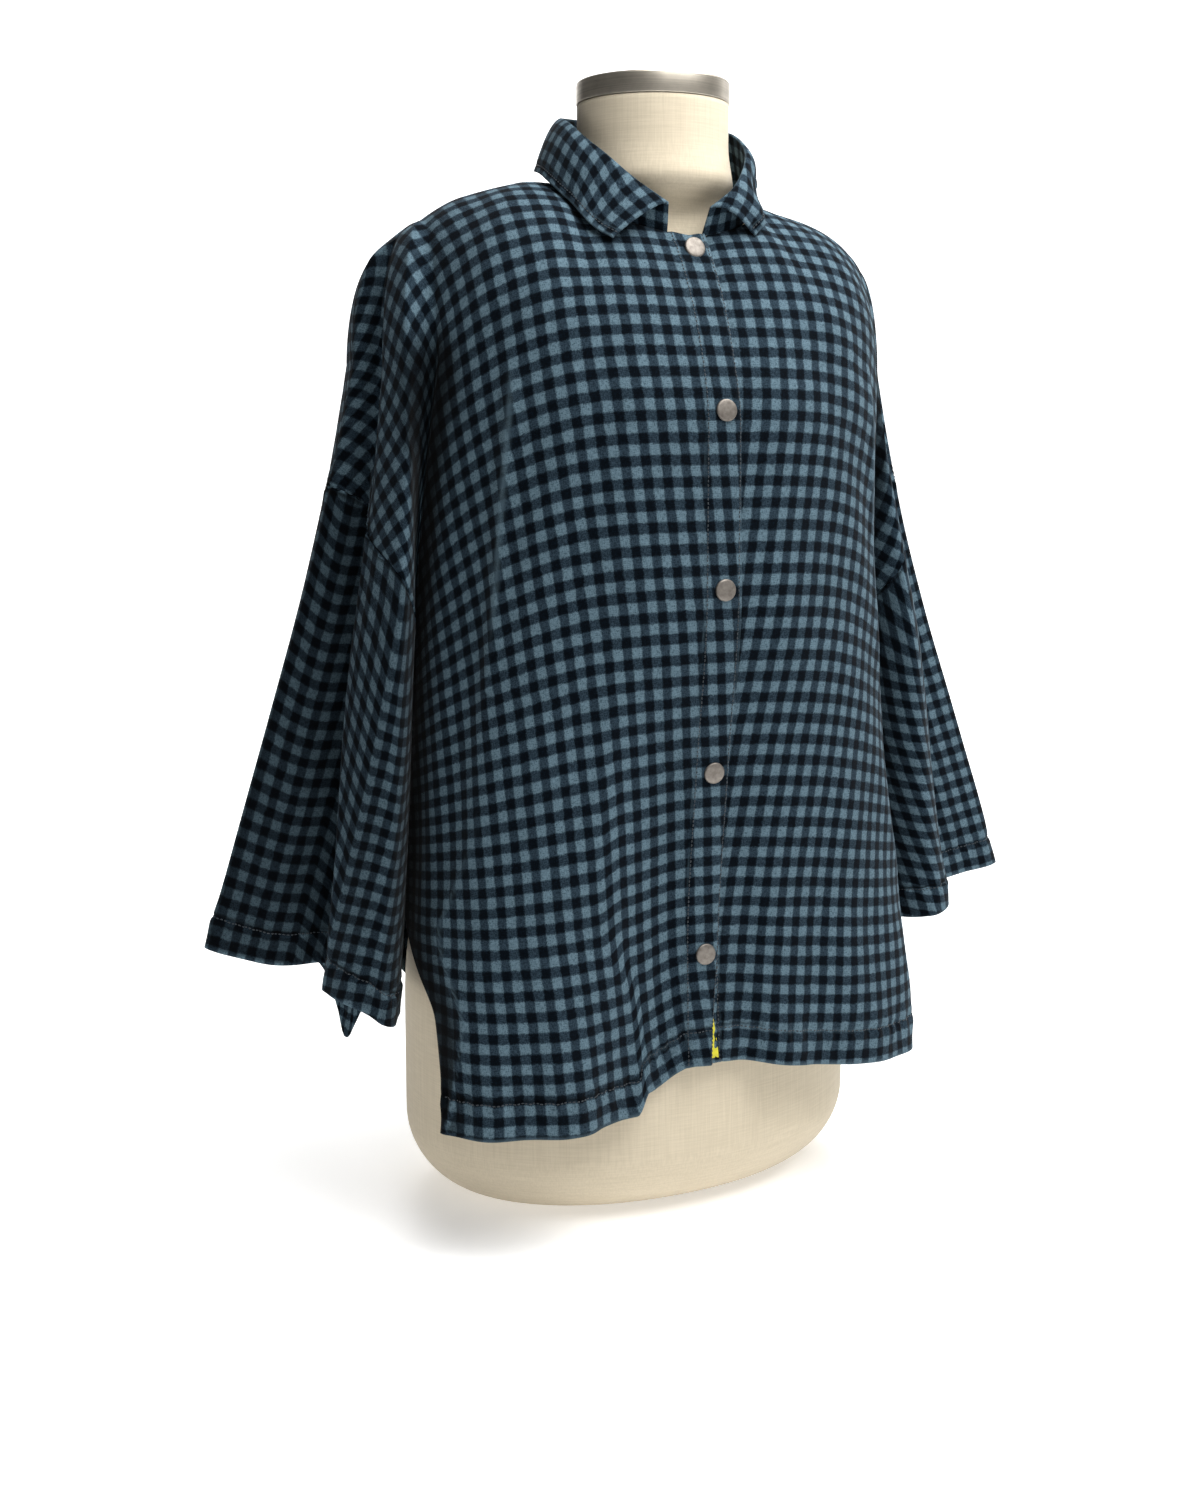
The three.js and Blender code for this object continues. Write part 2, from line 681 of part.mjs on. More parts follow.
function snap(name, z, mat) {
  let v = 0;
  let best = 1e9;
  for (let s = 0.02; s < 2.98; s += 0.002) {
    const d = Math.abs(halfPoint(-1, -1, 0, s)[2] - z);
    if (d < best) {
      best = d;
      v = s;
    }
  }
  const p = halfPoint(-1, -1, 0, v);
  const up = unit(sub(halfPoint(-1, -1, 0, v - 0.02), halfPoint(-1, -1, 0, v + 0.02)));
  const n = unit(cross(up, [-1, 0, 0]));
  const out = n[1] < 0 ? n : [-n[0], -n[1], -n[2]];
  const side = [1, 0, 0];
  const profile = [[SNAP_R - 0.5, 0], [SNAP_R, 0.7], [SNAP_R - 0.5, SNAP_H - 0.5], [SNAP_R - 1.9, SNAP_H]];
  const loops = profile.map(([r, h]) => {
    const loop = [];
    for (let i = 0; i < 20; i += 1) {
      const a = (i / 20) * 2 * Math.PI;
      const k = h + 0.7;
      loop.push([0, 1, 2].map((c) => p[c] + side[c] * r * Math.cos(a) + up[c] * r * Math.sin(a) + out[c] * k));
    }
    return loop;
  });
  return stack(name, loops, mat);
}

// Dress form

function formLoop(z, shrink, count) {
  const half = look(FORM, "z", "half", z) - shrink;
  const f = look(FORM, "z", "front", z) + shrink;
  const b = look(FORM, "z", "back", z) - shrink;
  const square = look(FORM, "z", "square", z);
  const mid = z > 600 ? mix(0, NECK_Y, smooth(600, 724, z)) : 0;
  const loop = [];
  for (let i = 0; i < count; i += 1) {
    const a = (i / count) * 2 * Math.PI;
    const s = Math.sin(a);
    const c = Math.cos(a);
    const deep = s < 0 ? mid - f : b - mid;
    const r = ((Math.abs(c) / half) ** square + (Math.abs(s) / deep) ** square) ** (-1 / square);
    loop.push([r * c, mid + r * s, z]);
  }
  return loop;
}

function form(name, mat) {
  const n = 36;
  const loops = [];
  for (const k of [0, 0.12, 0.3, 0.52, 0.76]) {
    const up = FORM_BASE_ROUND * k;
    const tuck = FORM_BASE_ROUND - Math.sqrt(FORM_BASE_ROUND ** 2 - (FORM_BASE_ROUND - up) ** 2);
    const loop = formLoop(56, tuck, n).map((p) => [p[0], p[1], up - LIFT]);
    loops.push(loop);
  }
  for (const z of [58, 110, 170, 230, 290, 340, 390, 430, 470, 510, 550, 590, 625, 655, 676, 692, 706, 718, 730]) {
    loops.push(formLoop(z, 0, n));
  }
  for (const z of [746, 764, NECK_TOP]) {
    const loop = [];
    for (let i = 0; i < n; i += 1) {
      const a = (i / n) * 2 * Math.PI;
      loop.push([NECK_R * Math.cos(a), NECK_Y + NECK_R * Math.sin(a), z]);
    }
    loops.push(loop);
  }
  return stack(name, loops, mat);
}

function cap(name, mat) {
  const loops = [[NECK_R + 0.6, 0], [NECK_R + 0.6, CAP_H - 1], [NECK_R - 0.4, CAP_H]].map(([r, h]) => {
    const loop = [];
    for (let i = 0; i < 36; i += 1) {
      const a = (i / 36) * 2 * Math.PI;
      loop.push([r * Math.cos(a), NECK_Y + r * Math.sin(a), NECK_TOP + 0.5 + h]);
    }
    return loop;
  });
  return stack(name, loops, mat);
}

const root = new THREE.Group();
root.name = "flannel_shirt_on_form";
root.add(front("front_right", -1, material("front_right_cloth", CLOTH, 0, 0.9)));
root.add(front("front_left", 1, material("front_left_cloth", CLOTH, 0, 0.9)));
root.add(back("back", material("back_cloth", CLOTH, 0, 0.9)));
root.add(sleeve("sleeve_right", -1, material("sleeve_right_cloth", CLOTH, 0, 0.9)));
root.add(sleeve("sleeve_left", 1, material("sleeve_left_cloth", CLOTH, 0, 0.9)));
root.add(collar("collar", material("collar_cloth", CLOTH, 0, 0.9)));
SNAP_Z.forEach((z, k) => {
  root.add(snap(`snap_${k + 1}`, z, material(`snap_${k + 1}_metal`, METAL, 0.9, 0.4)));
});
root.add(hemTab("hem_tab", material("tab_yellow", 0xd8cf2a, 0, 0.8)));
root.add(form("form_torso", material("form_linen", LINEN, 0, 0.85)));
root.add(cap("form_neck_cap", material("cap_metal", METAL, 0.8, 0.4)));

export default root;
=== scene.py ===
import math

import bmesh
import bpy
import numpy as np
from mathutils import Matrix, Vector

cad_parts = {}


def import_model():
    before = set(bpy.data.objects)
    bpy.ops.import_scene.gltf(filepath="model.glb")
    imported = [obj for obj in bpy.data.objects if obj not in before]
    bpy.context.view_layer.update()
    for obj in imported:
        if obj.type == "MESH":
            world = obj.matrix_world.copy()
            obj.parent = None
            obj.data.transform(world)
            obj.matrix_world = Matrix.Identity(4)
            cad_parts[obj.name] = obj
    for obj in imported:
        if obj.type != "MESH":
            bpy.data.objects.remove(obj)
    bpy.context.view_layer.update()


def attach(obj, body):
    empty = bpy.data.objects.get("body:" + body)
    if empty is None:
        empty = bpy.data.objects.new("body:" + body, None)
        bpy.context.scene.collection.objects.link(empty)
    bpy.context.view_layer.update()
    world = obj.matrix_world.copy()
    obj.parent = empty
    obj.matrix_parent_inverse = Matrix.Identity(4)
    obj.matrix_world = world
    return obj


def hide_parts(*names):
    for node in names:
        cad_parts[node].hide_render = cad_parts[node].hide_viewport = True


bl_info = {
    "name": "Gingham flannel shirt on a dress form",
    "version": (1, 0, 0),
    "blender": (4, 5, 0),
    "location": "View3D > Sidebar > Shirt",
    "description": "Builds a gingham flannel shirt with snaps, hanging on a linen dress form",
    "category": "Add Mesh",
}

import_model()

# The tables are in millimetres. Heights in them start LIFT below the floor's zero,
# the front faces -Y and the wearer's right is -X.
LIFT = 14.0
BODY_MID = -14.0
NECK_Y = -40.0
RING_TOP = 604.0
UNDERARM_Z = 382.0
OVERARM_SEAM_Z = 518.0
VENT_TOP = 222.0
HEM_Z = 80.0
BACK_HEM_Z = 66.0
CUFF_Z = 190.0
NECK_CAP_Z = 789.0
LAP_IN = 3.2
SNAP_Z = (684.0, 571.0, 450.0, 321.0, 188.0)

# How far each front reaches past the centre, and lengths from the centre to the deep fold
# round the neck and round the chest
LAP = {-1: 13.0, 1: 15.0}
HALF_NECK = 190.0
HALF_CHEST = 225.0

# Places along the shoulder line: the side of the neck and the deep fold
AT_NECK = 0.4
AT_FOLD = 0.86
HPS = AT_NECK / AT_FOLD

# Share of the sleeve cap that turns the corner out of the deep fold, place of the sleeve's
# outer edge round its outline, and share of the collar that stands
CORNER = 0.06
OUTER = 0.6
STAND = 0.4

# Lines down a front, from the centre: the right band's outer stitch row, the groove and the
# stitch row of the left front, and the worn lines of the band's free edge and of the left
# side; the band's inner row lies ROW_IN inside the band's edge
EDGE_ROW = -10.8
LEFT_GROOVE = 10.2
LEFT_ROW = 11.0
ROW_IN = 1.6
EDGE_LINE = -12.0
LEFT_SIDE_LINE = 200.0

# Width of a front that one whole step of u stands for beside the side corner, and length of
# the sleeve in the flat cut
FRONT_WIDTH = 200.0
SLEEVE_CUT = 330.0

THREAD_RADIUS = 0.42
COLLAR_ROW = 5.0
COLLAR_LAYERS = 1.3
TAPE_THICK = 0.6
SETTLE_ROUNDS = 480
SIDES = ((-1, "right"), (1, "left"))
TAU = 2 * math.pi
BLACK = (0.0, 0.0, 0.0, 1.0)
WHITE = (1.0, 1.0, 1.0, 1.0)


def table(names, rows):
    """Columns of a table by name, each as an array; the first one is looked up."""
    return dict(zip(names.split(), np.array(rows, float).T))


# Cloth outline of the body at a height
BODY = table("z half front back square back_square", [
    (40, 197, -139, 146, 6.0, 2.5),
    (120, 194, -136, 143, 5.4, 2.5),
    (200, 189, -133, 136, 4.4, 2.6),
    (320, 182, -144, 118, 3.3, 2.7),
    (450, 177, -159, 106, 2.5, 2.5),
    (560, 178, -159, 98, 2.4, 2.4),
    (640, 182, -139, 84, 2.4, 2.4),
])

# Sleeve outline at a height: outer edge, front fold, front face, inner wall, back
ARM = table("z outer fold front inner back", [
    (100, 351, 258, -80, 202, 64),
    (190, 329, 250, -80, 196, 64),
    (255, 310, 242, -78, 191.5, 64),
    (365, 277, 232, -76, 186, 62),
    (460, 249, 219, -76, 183, 60),
    (560, 224, 207, -73, 184, 56),
    (640, 208, 199, -66, 188, 48),
])

# Hanging folds of the body: degrees round from the centre front (the wearer's left
# positive) at the top and the bottom, width towards the front and away from it, depth,
# and the heights between which the fold grows
FOLDS = (
    (-34, -36.5, 6.5, 22, 21, 440, 110),
    (-13, -14, 7, 8, -5, 400, 120),
    (-58, -66, 7, 7, -5, 560, 430),
    (30, 34, 15, 15, 4, 420, 120),
    (52, 58, 9, 9, -5, 430, 120),
    (-150, -146, 12, 12, 9, 500, 120),
    (-126, -122, 9, 9, -8, 420, 120),
    (154, 150, 12, 12, 8, 480, 120),
    (128, 124, 9, 9, -9, 430, 120),
    (-174, -172, 9, 9, -6, 460, 120),
)

# Soft upright ridges of a front: length round from the centre, width, height, and the
# heights between which the ridge grows
SOFT_RIDGES = (
    (62, 15, 2.4, 380, 90),
    (96, 9, -1.6, 420, 110),
    (128, 13, 2.0, 330, 80),
    (36, 8, -1.3, 300, 90),
)

NECK_FRONT = table("at x y z", [
    (0, 0, -99, 692), (0.16, 34, -96, 698), (0.3, 62, -76, 710), (0.4, 78, -34, 728),
])
NECK_BACK = table("at x y z", [
    (0, 0, 22, 741), (0.16, 32, 17, 740), (0.3, 58, 0, 736), (0.4, 78, -34, 728),
])
RIDGE = table("at x y z", [
    (0.4, 78, -34, 728), (0.66, 128, -22, 715), (0.86, 166, -12, 701), (1, 192, -6, 684),
])
COLLAR = table("a seat fr fz er ez ea", [
    (0, 0, 65, 787, 79, 750, 0),
    (30, 0.16, 66, 786, 80.5, 748, 30),
    (55, 0.3, 66, 783, 83, 745, 54),
    (86, 0.4, 64, 775, 86, 739, 84),
    (120, 0.5, 66.5, 753, 90, 716, 114),
    (149, 0.64, 67, 726, 95, 695, 130.5),
    (167, 0.74, 65, 712, 96, 686, 140),
])
FORM = table("z half front back square", [
    (56, 177, -126, 127, 2.1),
    (130, 177, -124, 127, 2.1),
    (220, 168, -112, 120, 2.1),
    (320, 142, -102, 92, 2.1),
    (380, 134, -106, 80, 2.1),
    (450, 144, -136, 82, 2.1),
    (520, 153, -148, 86, 2.1),
    (580, 160, -140, 82, 2.1),
    (630, 166, -116, 68, 2.1),
    (660, 166, -98, 50, 2.0),
    (682, 154, -87, 30, 1.9),
    (698, 124, -80, 14, 1.9),
    (712, 90, -76.3, 4, 1.9),
    (724, 66, -75, -2, 2.0),
    (740, 60, -80, 4, 2.0),
])


# Numbers and curves


def smooth(lo, hi, v):
    """Cubic ease from 0 at lo to 1 at hi: 3t^2 - 2t^3."""
    t = np.clip((v - lo) / (hi - lo), 0, 1)
    return t * t * (3 - 2 * t)


def mix(a, b, t):
    """Straight blend a + (b - a)t."""
    return a + (b - a) * t


def bell(x, width):
    """Bell curve exp(-(x/width)^2)."""
    return np.exp(-(x / width) ** 2)


def look(rows, name, at):
    """Monotone cubic through a table's column: cubic Hermite pieces whose slopes are the
    harmonic means of the neighbouring straight slopes, and 0 at a turn."""
    x, y = next(iter(rows.values())), rows[name]
    d = np.diff(y) / np.diff(x)
    m = np.empty_like(y)
    m[0], m[-1] = d[0], d[-1]
    pair = d[:-1] * d[1:]
    total = d[:-1] + d[1:]
    m[1:-1] = np.where(pair > 0, 2 * pair / np.where(total == 0, 1, total), 0)
    at = np.clip(np.asarray(at, float), x[0], x[-1])
    k = np.clip(np.searchsorted(x, at, side="left") - 1, 0, len(x) - 2)
    span = x[k + 1] - x[k]
    t = (at - x[k]) / span
    return (
        (2 * t**3 - 3 * t**2 + 1) * y[k] + (t**3 - 2 * t**2 + t) * span * m[k]
        + (3 * t**2 - 2 * t**3) * y[k + 1] + (t**3 - t**2) * span * m[k + 1]
    )


def point(x, y, z):
    """Arrays of coordinates as one array of points."""
    return np.stack(np.broadcast_arrays(x, y, z), -1)


def whole(a):
    """Vectors at length 1."""
    return a / (np.linalg.norm(a, axis=-1, keepdims=True) + 1e-9)


def circle(turn):
    """Cosines and sines of so many equal steps round."""
    a = np.arange(turn) / turn * TAU
    return np.cos(a), np.sin(a)


def length_along(p, axis):
    """Running length along the rows (axis 0) or columns (axis 1) of a grid of points."""
    step = np.linalg.norm(np.diff(p, axis=axis), axis=-1)
    run = np.cumsum(step, axis=axis)
    pad = [(1, 0), (0, 0)] if axis == 0 else [(0, 0), (1, 0)]
    return np.pad(run, pad)


def ripple(s, z, seed):
    """Uneven lie of hanging cloth: five long sine waves of unlike directions added up."""
    rng = np.random.default_rng(seed)
    total = 0
    for wave in (46, 63, 88, 37, 120):
        a, b = rng.uniform(0, TAU, 2)
        total = total + np.sin(TAU / wave * (s * np.cos(a * 0.16) + z * np.sin(a * 0.16) * 0.5) + b)
    return total / 5


# Body and sleeve surfaces


def fold_depth(angle, z):
    """Sum of the folds: depth x reach down the body x a bell curve in angle, each bell
    with one width towards the front and another away from it."""
    deg = np.degrees(angle)
    total = 0
    for top, low, near, far, deep, z_top, z_low in FOLDS:
        grow = smooth(z_top, z_low, z)
        centre = mix(top, low, grow)
        off = np.where(np.abs(deg) < np.abs(centre), near, far)
        total = total + deep * grow * bell(deg - centre, off)
    return total


def vent_open(z):
    """How far the side vents stand open: 0 at their top and 1 at the hem."""
    return smooth(VENT_TOP, HEM_Z, z)


def half_width(side, angle, z):
    """Half width of the body cloth, wider to the wearer's left and narrower behind the vents."""
    left = 8 * smooth(420, 90, z) if side > 0 else 2 * smooth(300, 90, z)
    narrow = np.where(np.abs(angle) > math.pi / 2, 24 * vent_open(z), 0)
    return look(BODY, "half", z) + left - narrow


def body_point(side, angle, z):
    """Superellipse round the body at a height, 1/r = ((sin/half)^n + (cos/deep)^n)^(1/n),
    plus the folds; the angle is 0 at the centre front and a half turn at the back."""
    fore = np.abs(angle) < math.pi / 2
    half = half_width(side, angle, z)
    face = np.where(fore, look(BODY, "front", z), look(BODY, "back", z))
    n = np.where(fore, look(BODY, "square", z), look(BODY, "back_square", z))
    deep = np.abs(face - BODY_MID)
    across = np.abs(np.sin(angle)) / half
    along = np.abs(np.cos(angle)) / deep
    r = (across**n + along**n) ** (-1 / n) + fold_depth(side * angle, z)
    return point(side * r * np.sin(angle), BODY_MID - r * np.cos(angle), z)


def notch_y(end, z):
    """How far along Y the deep fold between body and sleeve reaches in at a height."""
    t = np.clip((z - UNDERARM_Z) / (RING_TOP - UNDERARM_Z), 0, 1)
    reach = -64 if end < 0 else 40
    near = BODY_MID * 0.5 + end * 3.5
    return near + (reach - near) * t**1.15


def notch_angle(end, z):
    """The same place as an angle round the body."""
    half = look(BODY, "half", z)
    return np.arccos(np.clip((BODY_MID - notch_y(end, z)) / half, -1, 1))


def arm_point(side, t, z):
    """Closed Catmull-Rom curve through ten points of the sleeve at a height: t is 0 at the
    inner wall, 0.3 at the front fold, 0.4 in the hollow, 0.6 at the outer edge, 0.8 behind."""
    t, z = np.broadcast_arrays(np.asarray(t, float), np.asarray(z, float))
    spread = 1 + 0.045 * smooth(520, 190, z) if side > 0 else np.ones_like(z)
    outer = look(ARM, "outer", z) * spread
    slim = smooth(380, 620, z) if side > 0 else np.zeros_like(z)
    fold = look(ARM, "fold", z) * spread - 6 * slim
    front = look(ARM, "front", z) * (1 - 0.4 * slim)
    inner = look(ARM, "inner", z) + (6 * smooth(420, 90, z) if side > 0 else 0)
    back = look(ARM, "back", z)
    xs = np.stack([
        inner, inner, mix(inner, fold, 0.5), fold, fold - 7,
        mix(outer, fold, 0.45), outer, mix(outer, fold, 0.5), mix(inner, fold, 0.6), inner + 2,
    ])
    flat = np.zeros_like(z)
    ys = np.stack([
        flat - 6, front * 0.55, front, front * 0.56, flat - 11,
        flat - 9, flat - 2, back * 0.62, back, back * 0.6,
    ])
    s = (t % 1) * 10
    k = np.floor(s).astype(int) % 10
    f = s - np.floor(s)
    w = (
        -0.5 * f**3 + f**2 - 0.5 * f,
        1.5 * f**3 - 2.5 * f**2 + 1,
        -1.5 * f**3 + 2 * f**2 + 0.5 * f,
        0.5 * f**3 - 0.5 * f**2,
    )

    def through(values):
        picked = (np.take_along_axis(values, (k + i + 9)[None] % 10, 0)[0] for i in range(4))
        return sum(share * value for share, value in zip(w, picked))

    return point(side * through(xs), through(ys), z)


def bisect(test, lo, hi):
    """Halves the span 24 times towards the place where the test turns false."""
    for _ in range(24):
        mid = (lo + hi) / 2
        yes = test(mid)
        lo, hi = np.where(yes, mid, lo), np.where(yes, hi, mid)
    return (lo + hi) / 2


def notch_on_arm(end, z):
    """Place on the sleeve outline where its inner wall meets the deep fold."""
    goal = notch_y(end, z)
    zero = np.zeros_like(np.asarray(z, float))
    return bisect(lambda m: (arm_point(1, m, z)[..., 1] - goal) * end < 0, zero, zero - end * 0.19)


def seam_height(q):
    """Height of the sleeve seam, q = 0 at the underarm and 1 at the overarm line."""
    rise = 1 - (1 - np.clip(q, 0, 1)) ** 2.6
    return UNDERARM_Z + (OVERARM_SEAM_Z - UNDERARM_Z) * rise


def side_angle(end, side, z):
    """Angle of the side seam, and of the panel's own edge where the vent is open."""
    if end < 0:
        wide = 0.6 * smooth(VENT_TOP, 150, z) + 0.4 * vent_open(z)
        return math.pi / 2 - 0.035 - wide * (0.44 if side < 0 else 0.3)
    return math.pi / 2 + 0.035 + vent_open(z) * (0.62 if side < 0 else 0.4)


def front_hem(side, u):
    """Height of the front hem, which lifts towards the centre front."""
    if side < 0:
        step = 15 * smooth(0.385, 0.325, np.abs(u))
        return HEM_Z - 2 + step + 14 * smooth(0.33, 0.05, np.abs(u))
    return HEM_Z + 3 + 24 * smooth(0.95, 0.05, np.abs(u))


def half_point(end, side, u, v):
    """Front or back half of the garment. u is 0..1 from the centre to the deep fold and 1..2
    over the sleeve cap; v is 0..1 over the shoulder, 1..2 to the underarm, 2..3 to the hem.
    Below the shoulder it is a ring at a height, above it a quarter arch up to the ridge."""
    low_z = front_hem(side, u) if end < 0 else np.full_like(u, BACK_HEM_Z)
    foot = np.where(u > 1, seam_height(u - 1), UNDERARM_Z)
    z = np.where(v > 2, mix(UNDERARM_Z, low_z, v - 2), mix(RING_TOP, foot, np.clip(v - 1, 0, 1)))
    start, outer = (0, OUTER) if end < 0 else (math.pi, OUTER - 1)
    fold_angle = notch_angle(end, z)
    stop = np.where(v > 2, side_angle(end, side, z), fold_angle)
    on_body = body_point(side, mix(start, stop, np.minimum(u, 1)), z)
    origin = notch_on_arm(end, z)
    on_arm = arm_point(side, mix(origin, outer, np.clip(u - 1, 0, 1)), z)
    ring = np.where((u <= 1)[..., None], on_body, on_arm)

    near = np.clip((u - 1) / CORNER, 0, 1)[..., None]
    edge = body_point(side, fold_angle, z)
    arm_in = arm_point(side, mix(origin, outer, CORNER), z)
    mid = (edge + arm_in) / 2 + np.array([0, -end * 7.0, 0])
    bend = (1 - near) ** 2 * edge + 2 * near * (1 - near) * mid + near**2 * arm_in
    ring = np.where(((u > 1) & (u < 1 + CORNER))[..., None], bend, ring)

    place = np.where(u <= 1, np.abs(u) * AT_FOLD, AT_FOLD + (u - 1) * (1 - AT_FOLD))
    neck = NECK_FRONT if end < 0 else NECK_BACK
    x, y, z = (
        np.where(place < AT_NECK, look(neck, name, place), look(RIDGE, name, place))
        for name in "xyz")
    hunch = (9 if side < 0 else -3) * smooth(0.3, 0.52, place) * smooth(0.97, 0.72, place)
    top = point(side * np.where(u < 0, -1, 1) * x, y, z + hunch)
    way = mix(0.3, 1, smooth(0.1, 0.75, np.abs(u)))
    v1 = np.clip(v, 0, 1)
    go = mix(v1, np.sin(v1 * math.pi / 2), way)
    drop = mix(v1, 1 - np.cos(v1 * math.pi / 2), way)
    arch = mix(top, ring, np.stack([go, go, drop], -1))
    return np.where((v < 1)[..., None], arch, ring)


# Meshes


def slopes(p, valid, axis, loop):
    """Mean of the steps to both neighbours along an axis, leaving out those with no cloth."""
    ahead = np.roll(p, -1, axis) - p
    has = valid & np.roll(valid, -1, axis)
    if axis == 0:
        has[-1] = False
    elif not loop:
        has[:, -1] = False
    behind = np.roll(ahead, 1, axis)
    had = np.roll(has, 1, axis)
    count = np.maximum(has.astype(int) + had.astype(int), 1)
    return (ahead * has[..., None] + behind * had[..., None]) / count[..., None]


def normals_of(p, valid=None, loop=False, flip=False):
    """Unit normals of a grid of points, the cross product of its two slopes."""
    valid = np.ones(p.shape[:2], bool) if valid is None else valid
    n = whole(np.cross(slopes(p, valid, 0, loop), slopes(p, valid, 1, loop)))
    return -n if flip else n


def normals_towards(way, p, valid=None, loop=False):
    """Unit normals of a grid, all turned to the side where their mean product with the
    directions given is above 0."""
    n = normals_of(p, valid, loop)
    return n * np.sign(np.sum(n * way, -1).mean())


def shell(name, p, cut, valid=None, thick=1.0, loop=False, flip=False, worn=None):
    """Closed shell: the grid of points, the same grid moved in along its normals by the
    thickness, and a rim of quads round every open edge. The cut gives the UV map, and
    "worn" says how far the cloth is painted pale as wear (above 0) and dark as painted shade
    and painted shadow (below 0)."""
    rows, cols = p.shape[:2]
    valid = np.ones((rows, cols), bool) if valid is None else valid
    n = normals_of(p, valid, loop, flip)
    inner = p - n * np.broadcast_to(thick, (rows, cols))[..., None]
    number = np.arange(rows * cols).reshape(rows, cols)
    right = np.roll(number, -1, 1)
    ok_right = np.roll(valid, -1, 1)
    a, b, c, d = number[:-1], number[1:], right[1:], right[:-1]
    quad = valid[:-1] & valid[1:] & ok_right[1:] & ok_right[:-1]
    if not loop:
        quad[:, -1] = False
    face = np.stack([a, b, c, d], -1)[quad]
    shift = rows * cols
    outer_faces = face[:, ::-1] if flip else face
    inner_faces = (face if flip else face[:, ::-1]) + shift
    pairs = outer_faces[:, [[0, 1], [1, 2], [2, 3], [3, 0]]].reshape(-1, 2)
    code = pairs[:, 0] * (2 * shift) + pairs[:, 1]
    back = pairs[:, 1] * (2 * shift) + pairs[:, 0]
    edge = pairs[~np.isin(code, back)]
    rim = np.stack([edge[:, 1], edge[:, 0], edge[:, 0] + shift, edge[:, 1] + shift], -1)
    faces = np.concatenate([outer_faces, inner_faces, rim])
    points = np.concatenate([p.reshape(-1, 3), inner.reshape(-1, 3)])
    uv = np.concatenate([cut.reshape(-1, 2)] * 2)
    used, faces = np.unique(faces, return_inverse=True)
    piece = mesh_piece(name, points[used], faces.reshape(-1, 4), uv[used])
    # The attribute holds wear above 0, and painted shade and painted shadow below 0.
    if worn is not None:
        both = np.concatenate([worn.ravel(), 0 * worn.ravel()])[used]
        layer = piece.data.attributes.new("worn", "FLOAT", "POINT")
        layer.data.foreach_set("value", both.astype(np.float32))
    return piece


def trace(p, field, value, axis):
    """Points where a field that grows along an axis passes a value, by straight blending
    between the two grid points on either side."""
    if axis == 0:
        p, field = p.swapaxes(0, 1), field.T
    k = np.clip((field < value).sum(1) - 1, 0, field.shape[1] - 2)
    row = np.arange(len(k))
    a, b = field[row, k], field[row, k + 1]
    f = np.clip((value - a) / np.where(b == a, 1, b - a), 0, 1)[:, None]
    return p[row, k] * (1 - f) + p[row, k + 1] * f


def stitch_row(path, normals, step):
    """Points and triangles of a row of stitches: the path is walked in equal steps, and at
    each one stands a spindle, six-sided rings either side of the middle with a tip at each
    end, laid along the path."""
    run = np.concatenate([[0], np.cumsum(np.linalg.norm(np.diff(path, axis=0), axis=1))])
    at = np.arange(step / 2, run[-1] - step / 2, step)
    pick = lambda q, d: np.stack([np.interp(at + d, run, q[:, i]) for i in range(3)], -1)
    centre = pick(path, 0)
    ahead = whole(pick(path, step * 0.4) - pick(path, -step * 0.4))
    out = pick(normals, 0)
    out = whole(out - ahead * np.sum(out * ahead, 1, keepdims=True))
    side = np.cross(ahead, out)
    ring = point(0, *circle(6))
    half = step * 0.36
    near, far = (ring * THREAD_RADIUS + [x * 0.55, 0, 0] for x in (-half, half))
    shape = np.concatenate([[[-half, 0, 0]], near, far, [[half, 0, 0]]])
    frame3 = np.stack([ahead, side, out * 0.8], 1)
    points = centre[:, None] + np.einsum("vk,nkc->nvc", shape, frame3) + out[:, None] * 0.12
    i = np.arange(6)
    j = (i + 1) % 6
    zero = np.zeros(6, int)
    tris = np.concatenate([
        np.stack([zero, j + 1, i + 1], -1), np.stack([i + 1, j + 1, j + 7], -1),
        np.stack([i + 1, j + 7, i + 7], -1), np.stack([zero + 13, i + 7, j + 7], -1)])
    faces = tris[None] + (np.arange(len(at)) * 14)[:, None, None]
    return points.reshape(-1, 3), faces.reshape(-1, 3)


def stitches_at(p, n, field, value, axis):
    """A stitch row where a field passes a value, on a grid of points with its normals."""
    step = length_of("stitch")
    return stitch_row(trace(p, field, value, axis), trace(n, field, value, axis), step)


def stitch_piece(name, rows):
    """One piece of several stitch rows, in dark thread."""
    points, faces, base = [], [], 0
    for q, f in rows:
        points.append(q)
        faces.append(f + base)
        base += len(q)
    piece = mesh_piece(name, np.concatenate(points), np.concatenate(faces))
    piece.data.materials.append(thread(name + "_thread", tuple(bpy.context.scene.shirt.thread)))
    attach(piece, "root")
    return piece


def sew(name, piece, rows, node):
    """Finishes a cloth with its own flannel and its stitches."""
    stitch_piece(name + "_stitches", rows)
    finish_piece(piece, cloth_finish(name + "_flannel"), node)


